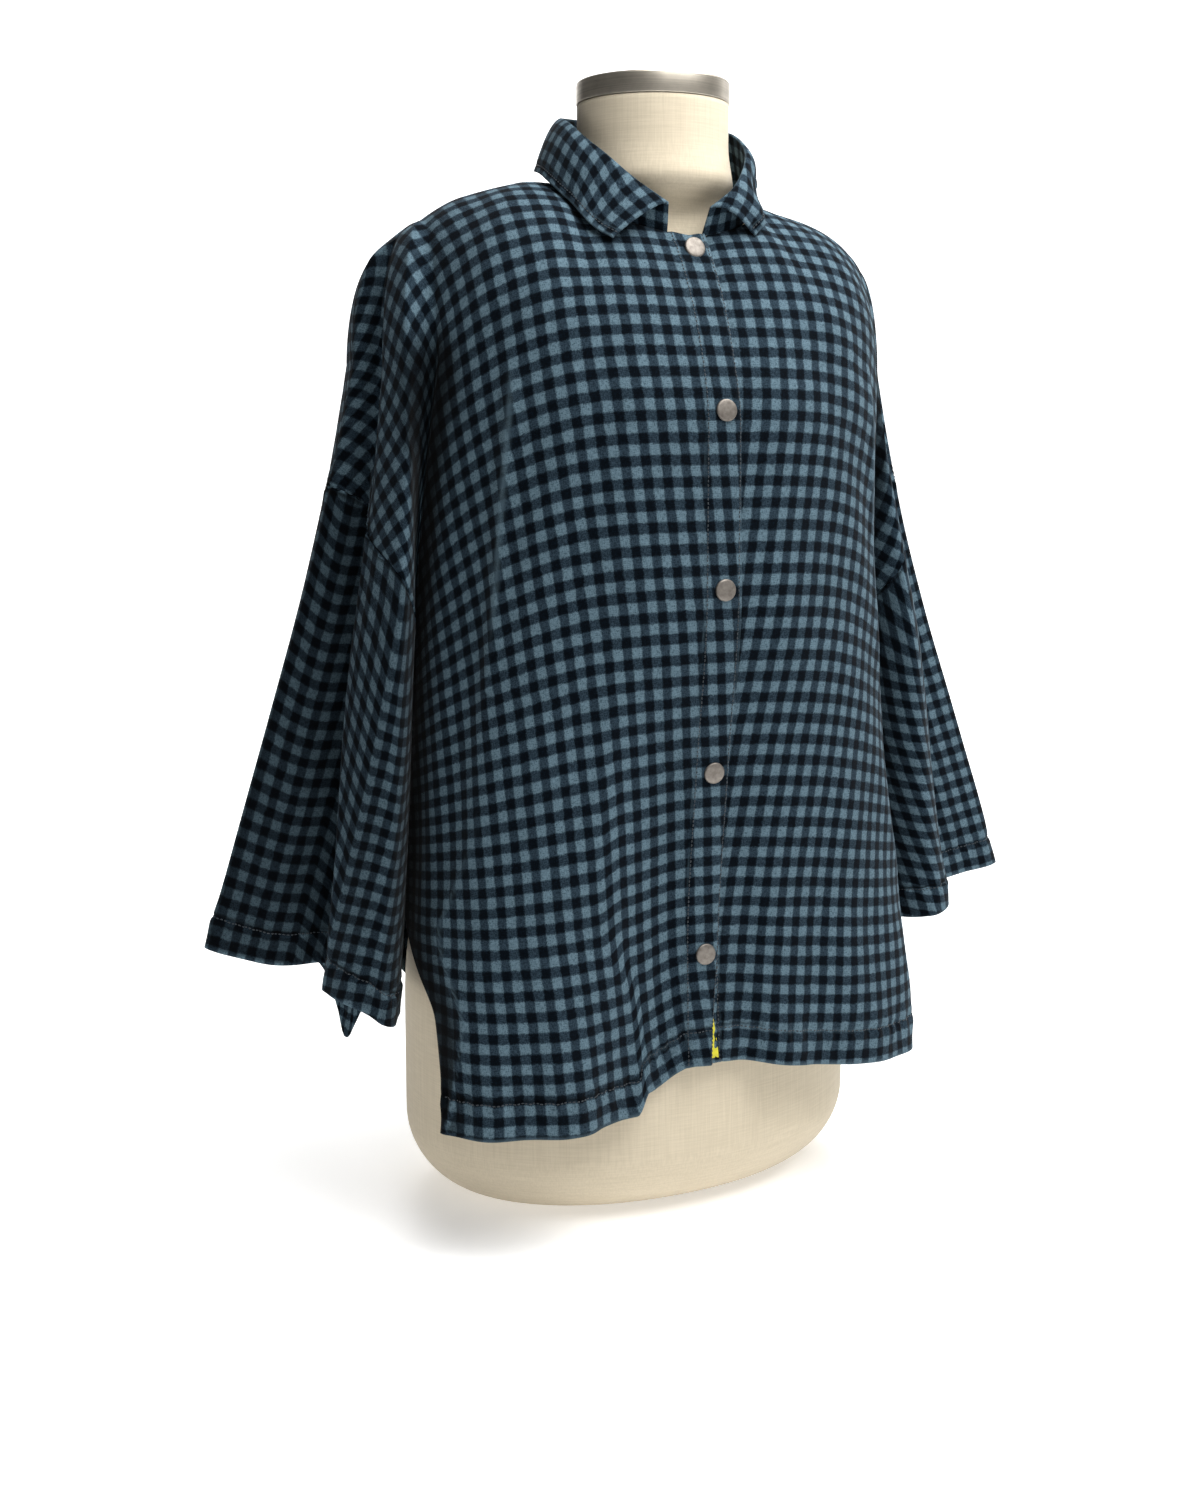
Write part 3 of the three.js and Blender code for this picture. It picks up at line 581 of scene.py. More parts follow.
def mesh_piece(name, points, faces, uv=None):
    """Mesh object from points in table millimetres, quads or triangles, and a UV for each
    point, which goes to every corner that uses it."""
    mesh = bpy.data.meshes.new(name)
    count, corners = faces.shape
    mesh.vertices.add(len(points))
    mesh.vertices.foreach_set("co", ((points + [0, 0, LIFT]) / 1000).astype(np.float32).ravel())
    mesh.loops.add(count * corners)
    mesh.loops.foreach_set("vertex_index", faces.astype(np.int32).ravel())
    mesh.polygons.add(count)
    mesh.polygons.foreach_set("loop_start", np.arange(0, count * corners, corners, dtype=np.int32))
    mesh.polygons.foreach_set("loop_total", np.full(count, corners, np.int32))
    mesh.update(calc_edges=True)
    if uv is not None:
        layer = mesh.uv_layers.new(name="cut")
        layer.data.foreach_set("uv", uv[faces.ravel()].astype(np.float32).ravel())
    mesh.polygons.foreach_set("use_smooth", np.full(count, True))
    mesh.validate()
    piece = bpy.data.objects.new(name, mesh)
    bpy.context.scene.collection.objects.link(piece)
    return piece


def revolve(name, centre, radius, around, turn):
    """Rings carried along an axis: ring k is centre + radius x (cos a, sin a) in the two
    directions given, with both ends closed by a point on the axis."""
    c, s = circle(turn)
    ring = c[:, None] * around[0] + s[:, None] * around[1]
    return closed_stack(name, centre[:, None, :] + radius[:, None, None] * ring[None])


def closed_stack(name, p):
    """Loops of equal count joined with triangles, the first and the last one closed to a
    middle point of their own, and all faces turned outwards."""
    rows, turn = p.shape[:2]
    number = np.arange(rows * turn).reshape(rows, turn)
    nxt = np.roll(number, -1, 1)
    sides = np.stack([number[:-1], nxt[:-1], nxt[1:], number[1:]], -1).reshape(-1, 4)
    points = np.concatenate([p.reshape(-1, 3), p[0].mean(0)[None], p[-1].mean(0)[None]])
    foot, top = rows * turn, rows * turn + 1
    low = np.stack([np.full(turn, foot), nxt[0], number[0]], -1)
    high = np.stack([np.full(turn, top), number[-1], nxt[-1]], -1)
    halves = sides[:, [0, 1, 2]], sides[:, [0, 2, 3]]
    piece = mesh_piece(name, points, np.concatenate([*halves, low, high]))
    bm = bmesh.new()
    bm.from_mesh(piece.data)
    bmesh.ops.recalc_face_normals(bm, faces=bm.faces)
    bm.to_mesh(piece.data)
    bm.free()
    return piece


def finish_piece(piece, material, node):
    """Gives a piece its material, hides the CAD part it stands for, and hangs the piece under the one
    body.
    """
    piece.data.materials.append(material)
    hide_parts(node)
    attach(piece, "root")
    return piece


# Materials


class Value:
    """A number socket of a material; + - and * on it add Math nodes."""

    def __init__(self, finish, socket):
        self.finish, self.socket = finish, socket

    def math(self, operation, *others):
        return self.finish.math(operation, self, *others)

    def __add__(self, other):
        return self.math("ADD", other)

    def __sub__(self, other):
        return self.math("SUBTRACT", other)

    def __rsub__(self, other):
        return self.finish.math("SUBTRACT", other, self)

    def __mul__(self, other):
        return self.math("MULTIPLY", other)

    def ease(self, lo, hi):
        """0 below lo and 1 above hi, with a smooth step between."""
        made = self.finish.node("ShaderNodeMapRange", {"interpolation_type": "SMOOTHSTEP"},
                                {"Value": self, "From Min": lo, "From Max": hi})
        return Value(self.finish, made.outputs[0])


class Finish:
    """A material with a Principled shader and the few kinds of node that are used here."""

    def __init__(self, name, **constants):
        self.material = bpy.data.materials.new(name)
        self.material.use_nodes = True
        self.tree = self.material.node_tree
        self.shader = self.tree.nodes["Principled BSDF"]
        for key, value in constants.items():
            self.shader.inputs[key.replace("_", " ")].default_value = value

    def node(self, kind, settings, sockets):
        """Adds a node: its settings first, then the value or link of each socket."""
        made = self.tree.nodes.new(kind)
        for key, value in settings.items():
            setattr(made, key, value)
        for key, value in sockets.items():
            if isinstance(value, Value):
                self.tree.links.new(value.socket, made.inputs[key])
            elif isinstance(value, bpy.types.NodeSocket):
                self.tree.links.new(value, made.inputs[key])
            else:
                made.inputs[key].default_value = value
        return made

    def math(self, operation, *terms):
        made = self.node("ShaderNodeMath", {"operation": operation}, dict(enumerate(terms)))
        return Value(self, made.outputs[0])

    def paint(self, a, b, factor):
        """Colour a turned into colour b by the factor."""
        made = self.node("ShaderNodeMix", {"data_type": "RGBA"}, {0: factor, 6: a, 7: b})
        return made.outputs[2]

    def noise(self, vector, scale, detail=2.0, rough=0.5):
        sockets = {"Vector": vector, "Scale": scale, "Detail": detail, "Roughness": rough}
        return Value(self, self.node("ShaderNodeTexNoise", {}, sockets).outputs[0])

    def place(self):
        """Object coordinates."""
        return self.node("ShaderNodeTexCoord", {}, {}).outputs["Object"]

    def parts(self, vector):
        """X, Y and Z of a vector."""
        made = self.node("ShaderNodeSeparateXYZ", {}, {0: vector})
        return [Value(self, made.outputs[k]) for k in range(3)]

    def scaled(self, vector, factors):
        """A vector times a fixed one."""
        made = self.node("ShaderNodeVectorMath", {"operation": "MULTIPLY"}, {0: vector, 1: factors})
        return made.outputs[0]

    def bump(self, height, strength, distance):
        sockets = {"Strength": strength, "Distance": distance, "Height": height}
        self.put("Normal", self.node("ShaderNodeBump", {}, sockets).outputs[0])

    def put(self, name, value):
        """Links a socket of the shader."""
        source = value.socket if isinstance(value, Value) else value
        self.tree.links.new(source, self.shader.inputs[name])


def dimmed(colour, share):
    """A colour times a share."""
    return tuple(c * share for c in colour[:3]) + (1.0,)


def flannel(name, looks):
    """Brushed gingham. With U and V counted in checks, a stripe is light where the fraction
    of U (or V) is more than a quarter from a half; the two stripes choose one of four
    colours. Fine noise along each thread direction breaks the cells into a melange. The
    "worn" attribute turns the cloth pale as wear above 0, and dark as painted shade and
    painted shadow below 0."""
    f = Finish(name, Roughness=0.97, Sheen_Weight=0.03, Sheen_Roughness=0.5)
    f.shader.inputs["Specular IOR Level"].default_value = 0.04
    uv = f.node("ShaderNodeUVMap", {"uv_map": "cut"}, {}).outputs[0]
    u, v, _ = f.parts(uv)
    wander = f.noise(uv, 2.3)
    shiver = f.noise(uv, 14.0)
    hair = f.noise(uv, 34.0, 3.0, 0.7)
    u = u + (wander - 0.5) * 0.16 + (shiver - 0.5) * 0.12 + (hair - 0.5) * 0.26
    wander_v = f.noise(f.scaled(uv, (1.0, 1.3, 1.0)), 2.7, 2.0)
    v = v + (wander_v - 0.5) * 0.16 + (shiver - 0.5) * 0.12 - (hair - 0.5) * 0.26

    def stripe(x):
        return (x.math("FRACT") - 0.5).math("ABSOLUTE").ease(0.20, 0.30)

    warp, weft = stripe(u), stripe(v)
    along_u = f.noise(f.scaled(uv, (5.0, 22.0, 1.0)), 1.0, 3.0, 0.6)
    along_v = f.noise(f.scaled(uv, (22.0, 5.0, 1.0)), 1.0, 3.0, 0.6)
    fuzz = f.noise(uv, 30.0, 3.0, 0.65)
    speck = ((along_u + along_v) * 0.6 + fuzz * 0.6 - 0.9) * 3.0
    mixed_a = f.paint(looks["mixed_warp"], looks["mixed_weft"], (speck * 1.6 + 0.5).ease(0.2, 0.8))
    mixed_b = f.paint(looks["mixed_weft"], looks["mixed_warp"], (speck * 1.6 + 0.42).ease(0.1, 0.9))
    light = f.paint(looks["light_low"], looks["light"], (speck + 0.5).ease(0.05, 0.75))
    dark = f.paint(looks["dark"], looks["dark_high"], (speck + 0.35).ease(0.2, 1.0))
    low = f.paint(dark, mixed_b, weft)
    colour = f.paint(low, f.paint(mixed_a, light, weft), warp)
    patch = f.noise(uv, 0.35)
    colour = f.paint(colour, BLACK, (0.62 - patch).ease(0.0, 0.6) * 0.16)
    # Above 0 the colour turns pale as wear; below 0 it is darkened towards black as painted shade and
    # painted shadow.
    worn = Value(f, f.node("ShaderNodeAttribute", {"attribute_name": "worn"}, {}).outputs["Fac"])
    pale = f.paint(colour, looks["light"], 0.62)
    colour = f.paint(colour, pale, worn.ease(0.0, 1.0) * (wander * 0.8 + 0.5) * (speck * 0.6 + 0.8))
    colour = f.paint(colour, BLACK, (worn * -1.0).ease(0.0, 1.0) * 0.86)
    f.put("Base Color", colour)
    twill = ((u + v) * 9.0).math("FRACT") - 0.5
    height = twill.math("ABSOLUTE") * 0.35 + fuzz * 0.9 + shiver * 0.6
    f.bump(height, 0.35, 0.0006)
    return f.material


def linen(name, colour, shade):
    """Plain linen weave: two crossed sets of stretched noise for the slubs, and a slow
    change of tone."""
    f = Finish(name, Roughness=0.88, Sheen_Weight=0.12)
    f.shader.inputs["Specular IOR Level"].default_value = 0.2
    place = f.place()
    down = f.noise(f.scaled(place, (900.0, 900.0, 26.0)), 1.0)
    across = f.noise(f.scaled(place, (40.0, 40.0, 1100.0)), 1.0)
    slow = f.noise(place, 5.0)
    tone = ((down + across) * 0.5).ease(0.3, 0.7) * 0.45 + slow * 0.25
    f.put("Base Color", f.paint(colour, shade, tone))
    f.bump(down + across, 0.25, 0.0004)
    return f.material


def brushed(name, colour, dark, rough, axis):
    """Brushed metal: noise drawn out along one direction varies tone and roughness."""
    f = Finish(name, Metallic=1.0)
    place = f.place()
    lines = f.noise(f.scaled(place, axis), 1.0, 3.0, 0.6)
    blot = f.noise(place, 90.0, 3.0)
    f.put("Base Color", f.paint(colour, dark, (lines * 0.6 + blot * 0.4).ease(0.3, 0.75)))
    f.put("Roughness", lines * 0.16 + (rough - 0.06) + blot * 0.1)
    f.bump(lines, 0.12, 0.0002)
    return f.material


def thread(name, colour):
    """Twisted sewing thread."""
    f = Finish(name, Roughness=0.7, Sheen_Weight=0.2)
    spin = f.noise(f.scaled(f.place(), (2600.0, 2600.0, 2600.0)), 1.0, 1.0)
    f.put("Base Color", f.paint(colour, dimmed(colour, 0.5), spin))
    f.bump(spin, 0.3, 0.0002)
    return f.material


def tape(name, colour):
    """Plain woven yellow tape with fine ribs across."""
    f = Finish(name, Roughness=0.7)
    z = f.parts(f.place())[2]
    rib = (z * 1400.0).math("SINE") * 0.5 + 0.5
    grain = f.noise(f.place(), 1500.0, 2.0)
    f.put("Base Color", f.paint(colour, dimmed(colour, 0.7), rib * 0.4 + grain * 0.3))
    f.bump(rib + grain, 0.3, 0.0002)
    return f.material


def plain(name, colour):
    """Smooth white paper with the faintest grain. It glows softly, more up the sweep behind
    and not at all far to the left of the form, where it is darker too."""
    f = Finish(name, Roughness=0.95, Emission_Strength=1.0)
    grain = f.noise(f.place(), 60.0, 3.0)
    x, y, z = f.parts(f.place())
    glow = x.ease(-1.2, -0.7) * (y.ease(0.2, 1.5) * 0.3 + z.ease(0.0, 1.1) * 0.3 + 0.37)
    f.put("Emission Color", f.paint(BLACK, WHITE, glow))
    tint = f.paint(colour, dimmed(colour, 0.985), grain)
    f.put("Base Color", f.paint(dimmed(colour, 0.5), tint, x.ease(-1.5, -0.9)))
    return f.material


# Settings


def srgb(code):
    """Linear RGBA of a hex colour."""
    part = [int(code[i:i + 2], 16) / 255 for i in (0, 2, 4)]
    return tuple(c / 12.92 if c <= 0.04045 else ((c + 0.055) / 1.055) ** 2.4 for c in part) + (1.0,)


def colour_setting(name, description, code):
    return bpy.props.FloatVectorProperty(
        name=name, description=description, default=srgb(code), subtype="COLOR",
        size=4, min=0, max=1)


def number_setting(name, description, value, low=0.0, **more):
    return bpy.props.FloatProperty(
        name=name, description=description, default=value, min=low, **more)


def length_setting(name, description, value, low, high):
    return number_setting(name, description, value, low, max=high, unit="LENGTH", subtype="DISTANCE")


class ShirtSettings(bpy.types.PropertyGroup):
    check: length_setting("Check", "Width of one light and one dark stripe together", 0.01375, 0.004, 0.05)
    cloth: length_setting("Cloth", "Thickness of one layer of flannel", 0.0010, 0.0004, 0.003)
    hem: length_setting("Hem", "Depth of the turned hem", 0.025, 0.01, 0.05)
    cuff_hem: length_setting("Cuff hem", "Depth of the turned sleeve hem", 0.022, 0.01, 0.05)
    placket: length_setting("Placket", "Width of the front band", 0.028, 0.015, 0.05)
    stitch: length_setting("Stitch", "Length of one stitch with its gap", 0.0030, 0.0015, 0.006)
    light: colour_setting("Light check", "Cells where both stripes are light", "5F7581")
    light_low: colour_setting("Light check, low", "The same cells in the hollows of the nap", "384A54")
    dark: colour_setting("Dark check", "Cells where both stripes are dark", "01050A")
    dark_high: colour_setting("Dark check, raised", "The same cells where the nap stands up", "08131D")
    mixed_warp: colour_setting("Half tone, teal", "Cells where the stripes cross, first yarn", "152029")
    mixed_weft: colour_setting("Half tone, grey", "Cells where the stripes cross, second yarn", "2C3B46")
    thread: colour_setting("Thread", "Sewing thread", "202C35")
    tab: colour_setting("Hem tab", "Woven tab between the fronts", "D8CF2A")


class FormSettings(bpy.types.PropertyGroup):
    cover: colour_setting("Cover", "Linen of the dress form", "D4C8B1")
    cover_shade: colour_setting("Cover, shaded", "Linen in the hollows of the weave", "B7AB94")
    cap: colour_setting("Neck cap", "Brushed metal of the neck cap", "CDC5B7")
    cap_shade: colour_setting("Neck cap, dark", "Darker brush lines", "A39C90")
    snap: colour_setting("Snaps", "Nickel of the snaps", "8E8881")
    snap_shade: colour_setting("Snaps, worn", "Worn patches of the snaps", "6C6660")


class StageSettings(bpy.types.PropertyGroup):
    floor: colour_setting("Floor", "Paper under and behind the form", "FFFFFF")
    key: number_setting("Key light", "Power of the large front light", 27, unit="POWER")
    fill: number_setting("Fill light", "Power of the light behind", 34, unit="POWER")
    sky: number_setting("Sky", "Strength of the even light all round", 0.11)
    lens: number_setting("Lens", "Focal length for a 36 mm sensor", 42.12, 10, unit="CAMERA")


def cloth_finish(name):
    """The flannel, one material for each panel."""
    s = bpy.context.scene.shirt
    names = ("light", "light_low", "dark", "dark_high", "mixed_warp", "mixed_weft")
    return flannel(name, {n: tuple(getattr(s, n)) for n in names})


def length_of(name):
    """A length of the shirt's settings, in millimetres."""
    return getattr(bpy.context.scene.shirt, name) * 1000


# Cut of the cloth


def settle(first, across, down, tight_across, tight_down):
    """Places on a grid whose steps to their neighbours come nearest, by weighted squares, to
    the steps asked for: conjugate gradients, scaled by the weights at each place."""

    def gather(a, d):
        out = np.zeros_like(first)
        out[:, 1:] += a
        out[:, :-1] -= a
        out[1:] += d
        out[:-1] -= d
        return out

    def pull(x):
        return gather(tight_across * np.diff(x, axis=1), tight_down * np.diff(x, axis=0))

    load = np.full(first.shape[:2] + (1,), 1e-6)
    load[:, 1:] += tight_across
    load[:, :-1] += tight_across
    load[1:] += tight_down
    load[:-1] += tight_down
    x = first.copy()
    left = gather(tight_across * across, tight_down * down) - pull(x)
    way = left / load
    size = (left * way).sum((0, 1))
    for _ in range(SETTLE_ROUNDS):
        pulled = pull(way)
        go = size / ((way * pulled).sum((0, 1)) + 1e-30)
        x += go * way
        left -= go * pulled
        fresh = left / load
        new = (left * fresh).sum((0, 1))
        way = fresh + new / (size + 1e-30) * way
        size = new
    return x


def grain_turn(end, s, z, u, v):
    """Degrees by which the weft, then the warp, is turned down from the panel's cross lines:
    nothing at the centre, more towards the deep fold, near a right angle on the sleeve cap,
    and fading out below; over the shoulder it follows the ridge."""
    if end < 0:
        weft = np.interp(s, [0, 40, 75, 120, 160, 200, 235], [0, 1.5, 5, 18, 28, 36, 38])
        warp = np.interp(s, [0, 60, 100, 135, 150, 172, 235], [0, 0, 3, 7, 12, 24, 28])
    else:
        weft = np.interp(s, [0, 60, 120, 180, 235], [0, 2, 10, 22, 27])
        warp = weft
    fade = np.where(v < 1, 1, 0.5 * smooth(160, 430, z) + 0.5 * np.clip((z - 150) / 290, 0, 1))
    cap = np.interp(u, [1, 1.25, 1.5, 1.8, 2], [60, 64, 68, 82, 90])
    cap = mix(cap, 84, smooth(560, 420, z) * (v > 1) * 0.5)
    on_cap = smooth(0.99, 1.03, u) * (v >= 1) + smooth(0.95, 1.12, u) * (v < 1)
    reach = smooth(0, mix(1.0, 0.22, smooth(0.9, 1.9, u)), v)
    return mix(weft * fade, cap, on_cap) * reach, mix(warp * fade, cap, on_cap) * reach


def between(a, axis):
    """Means of neighbours along the rows (axis 0) or columns (axis 1) of a grid."""
    return (a[:, 1:] + a[:, :-1]) / 2 if axis == 1 else (a[1:] + a[:-1]) / 2


def cut_of_half(end, side, p, u, v, centre):
    """Place of every point in the flat cut, in millimetres. Each step between neighbours on
    the panel is turned in its plane by the grain's own turn there; the places are the best
    sum of those steps, held loosely across the bust crease and hardly at all across the
    deep fold, where the real cloth is tucked away."""
    z = p[..., 2]
    run, drop = length_along(p, 1), length_along(p, 0)
    s = run - run[:, centre][:, None]
    weft, warp = (np.radians(t) * np.sign(s + 1e-9) for t in grain_turn(end, np.abs(s), z, u, v))

    down_grid, cross = np.gradient(p, axis=0), np.gradient(p, axis=1)
    normal = whole(np.cross(down_grid, cross))
    cross = whole(cross)
    foot = int(np.argmin(np.abs(v[:, 0] - 1)))
    to_side = np.broadcast_to([float(side), 0.0, 0.0], cross[0].shape)
    level = whole(mix(to_side, cross[0], smooth(HPS - 0.1, 0.75, u[0])[:, None]))
    yoke = mix(level, cross[foot + 1], smooth(0, 1, v)[..., None])
    weft_way = np.where((v < 1)[..., None], yoke, cross)
    weft_way = whole(weft_way - normal * np.sum(weft_way * normal, -1, keepdims=True))
    warp_way = np.cross(weft_way, normal)
    warp_way *= np.sign(np.sum(warp_way * down_grid, -1, keepdims=True) + 1e-9)

    def flat_step(step, axis):
        a, b = between(warp, axis), between(weft, axis)
        x = np.sum(step * whole(between(weft_way, axis)), -1)
        y = np.sum(step * whole(between(warp_way, axis)), -1)
        return np.stack([x * np.cos(a) + y * np.sin(a), -x * np.sin(b) + y * np.cos(b)], -1)

    def tightness(value, length):
        return (np.clip(value / (length + 0.05), 0, 40) * (length > 1e-6))[..., None]

    in_fold = np.abs(u - 1.01) < 0.035
    fold = np.where(in_fold, mix(1, 0.003, smooth(0.7, 1.0, v)), 1)
    reach = (end < 0) * smooth(250, 400, z) * smooth(640, 560, z)
    crease = 1 - 0.9 * bell(s - crease_line(z), 9) * reach
    hold = fold * crease * mix(4, 1, smooth(110, 400, z))
    steps = np.diff(p, axis=1), np.diff(p, axis=0)
    across, tall = (np.linalg.norm(step, axis=-1) for step in steps)
    cut = settle(
        np.stack([s, drop], -1), flat_step(steps[0], 1), flat_step(steps[1], 0),
        tightness(between(hold * np.gradient(drop, axis=0), 1), across),
        tightness(between(np.gradient(run, axis=1), 0), tall))
    return cut - cut[foot, centre], s


def crease_line(z):
    """Length round from the centre front of the crease that falls from the bust: a straight
    line that drifts outwards below."""
    return 150 + np.clip(560 - z, -60, 400) * 0.10


# Panels


def spread(stops, counts):
    """Values from stop to stop, with so many equal steps between each two."""
    runs = [np.linspace(a, b, n + 1)[:-1] for a, b, n in zip(stops, stops[1:], counts)]
    return np.concatenate(runs + [stops[-1:]])


def front_grid(side):
    """Values of u and v over a front: columns from the edge past the centre to the deep
    fold and over the cap, rows over the shoulder, to the underarm and to the hem."""
    us, vs = spread((-1, 0, 1, 2), (8, 103, 44)), spread((0, 1, 2, 3), (44, 62, 92))
    v, u = np.meshgrid(vs, us, indexing="ij")
    lap = LAP[side]
    kick = 8 * smooth(2.7, 3, v) if side < 0 else 0
    over = mix(lap / HALF_NECK, lap / HALF_CHEST, np.clip(v, 0, 1))
    scale = np.where(v < 1, over, (lap - kick) / HALF_CHEST)
    return np.where(u < 0, u * scale, u), v


def cloth_part(p, u, v):
    """Where a half has cloth, which is all but the cap below the underarm, and its points
    with the others drawn back to the deep fold."""
    valid = ~((v > 2) & (u > 1))
    return valid, np.where(valid[..., None], p, p[:, [int(np.argmax(u[0] >= 1))]])


def at_seam(u, v):
    """Where a half meets the other one, at the overarm line or along the shoulder."""
    return (u >= 2) | ((v == 0) & (u >= HPS))


def layers(away, hem):
    """Thickness by the height above the edge: one layer, and more within the turned hem."""
    return length_of("cloth") * (1 + 0.7 * smooth(2, 0, away - hem))


def puckers(s, wave, sway, slow, away, reach):
    """Ripples across a seam: a sine along it whose phase sways, under a bell curve of the
    distance from it."""
    return np.sin(TAU * s / wave + sway * np.sin(s / slow)) * bell(away, reach)


def hem_relief(s, away, depth, seed):
    """Turned hem: cloth a little thicker below the stitch row, a groove along the row,
    puckers that run across it and die out on both sides, and the edge's slow waves."""
    rng = np.random.default_rng(seed)
    a, b = rng.uniform(0, TAU, 2)
    row = away - depth
    bend = 1.9 * np.sin(TAU * s / 57 + b)
    pucker = np.sin(TAU * s / 11.3 + a + bend) * bell(row + 2, 10) * 1.25
    wave = np.sin(TAU * s / 61 + b + 0.9 * np.sin(s / 31)) * 1.7 * smooth(70, 0, away)
    step = 0.7 * smooth(0.8, -0.8, row)
    return step - 1.2 * bell(row - 0.5 * np.sin(s / 19), 1.7) + pucker + wave


def hem_wear_and_shadow(away, hem):
    """Colour at a hem: pale as wear along the stitch row and the edge, and dark just above the row as a
    painted shadow.
    """
    return 0.55 * bell(away - hem, 1.1) + 0.8 * bell(away, 1.4) - 0.8 * bell(away - hem - 1.6, 0.9)


def front_lines(side, z, u, v):
    """What a front's relief and its wear share: height above the hem's edge, distance past
    the side corner with the share of it that is sharp, and the band's inner edge."""
    beyond = (u - side_corner(z)) * FRONT_WIDTH
    sharp = smooth(330, 200, z) * (v > 2)
    edge = length_of("placket") - LAP[-1] if side < 0 else LAP[-1]
    return z - front_hem(side, u), beyond, sharp, edge


def front_relief(side, s, z, u, v):
    """Small forms of a front, outwards in millimetres: uneven lie, the soft ridges, the bust
    crease, the sharp side corner, the hem, and the two stitch rows of the band."""
    away, beyond, sharp, edge = front_lines(side, z, u, v)
    on_body = smooth(1.0, 0.96, u)
    lie = ripple(s, z, 3 if side < 0 else 4) * 1.5 * smooth(18, 60, np.abs(s))
    relief = lie * smooth(0, 0.3, v) * on_body
    for at, wide, high, start, full in SOFT_RIDGES:
        drift = at + (0.02 if side < 0 else -0.03) * (300 - z)
        relief += high * bell(s - drift, wide) * smooth(start, full, z) * on_body
    past = s - crease_line(z)
    grow = smooth(330, 430, z) * smooth(640, 560, z)
    relief += (2.2 * bell(past, 6) - 1.6 * bell(past - 14, 9)) * grow * on_body
    relief += 2.6 * np.exp(-np.abs(beyond) / 7) * sharp
    relief += hem_relief(s, away, length_of("hem"), 7 + side) * (v > 2)
    for row in (LEFT_GROOVE if side > 0 else EDGE_ROW, edge):
        relief -= 0.8 * bell(s - row, 1.4)
        relief += 0.35 * np.sin(TAU * z / 9.7 + np.sin(z / 23)) * bell(s - row, 5)
    return relief + 0.8 * smooth(0.6, -0.6, s - edge)


def front_wear_and_shade(side, s, z, u, v):
    """Where a front is painted pale as wear: along the band's two edges, the bust crease, the sharp
    side corner, the stitch row and the hem edge. It is painted dark beside those lines as
    painted shadow, and in the deep fold and on the right sleeve cap as painted shade."""
    away, beyond, sharp, edge = front_lines(side, z, u, v)
    right = side < 0
    uneven = 0.55 + 0.45 * np.sin(z / 9.1 + np.sin(z / 23))
    worn = 0.5 * uneven * bell(s - edge, 1.3) * smooth(0, 0.2, v)
    worn += 0.4 * bell(s - (EDGE_LINE if right else LEFT_SIDE_LINE), 1.6)
    worn += 0.8 * bell(s - crease_line(z), 2.6) * smooth(400, 450, z) * smooth(620, 560, z)
    worn += hem_wear_and_shadow(away, length_of("hem")) * (v > 2)
    # Past the right front's sharp side corner the cloth is painted darker: painted shade.
    worn += (0.8 * bell(beyond, 1.6) - 0.45 * right * smooth(1, 5, beyond)) * sharp
    worn += 0.5 * bell(u - 1, 0.008) * smooth(1.2, 1.5, v)
    # Painted shade on the right sleeve cap's outer facet, and a painted shadow beside the band's edge.
    worn -= 0.42 * right * smooth(1.5, 1.62, u) + 0.35 * bell(s - edge - 2.2, 1.1)
    return np.clip(worn - fold_shade(u, v, z), -1, 1)


def fold_shade(u, v, z):
    """How far the deep fold beside the sleeve is painted dark, as painted shade where light and
    wear don't reach, and less on the cloth turned towards it."""
    deep = smooth(0.70, 1.05, v) * bell(np.where(u < 1, (u - 1) / 0.075, (u - 1) / 0.12), 1)
    wide = 0.4 * smooth(0.72, 0.96, u) * (u < 1.0) * smooth(0.8, 1.1, v)
    return np.clip(deep + wide * smooth(150, 330, z), 0, 1)


def side_corner(z):
    """Place across the panel, as a value of u, of the sharp line above the corner of the
    hem, which it meets at the vent's edge below."""
    return 0.985 - 0.27 * np.clip((z - 80) / 180, 0, 1.15)


def cap_relief(side, end, u, v, s, z):
    """Small forms of the sleeve cap: puckers down into the sleeve seam and a few thin
    lengthwise creases."""
    on_cap = smooth(1.0, 1.1, u)
    below = np.clip(2 - v, 0, 1) * (RING_TOP - seam_height(u - 1))
    pucker = puckers(s, 9.5, 1.3, 11, below, 9) * 0.9
    crease = 1.6 * bell(u - 1.52 - 0.05 * np.sin(z / 40), 0.035) - 1.1 * bell(u - 1.40, 0.05)
    crease += 1.0 * bell(u - 1.72 + 0.03 * np.sin(z / 31), 0.03)
    grow = smooth(690, 650, z) * smooth(400, 470, z)
    return on_cap * (pucker * (v > 1) + crease * grow * (1 if end < 0 else 0.7))


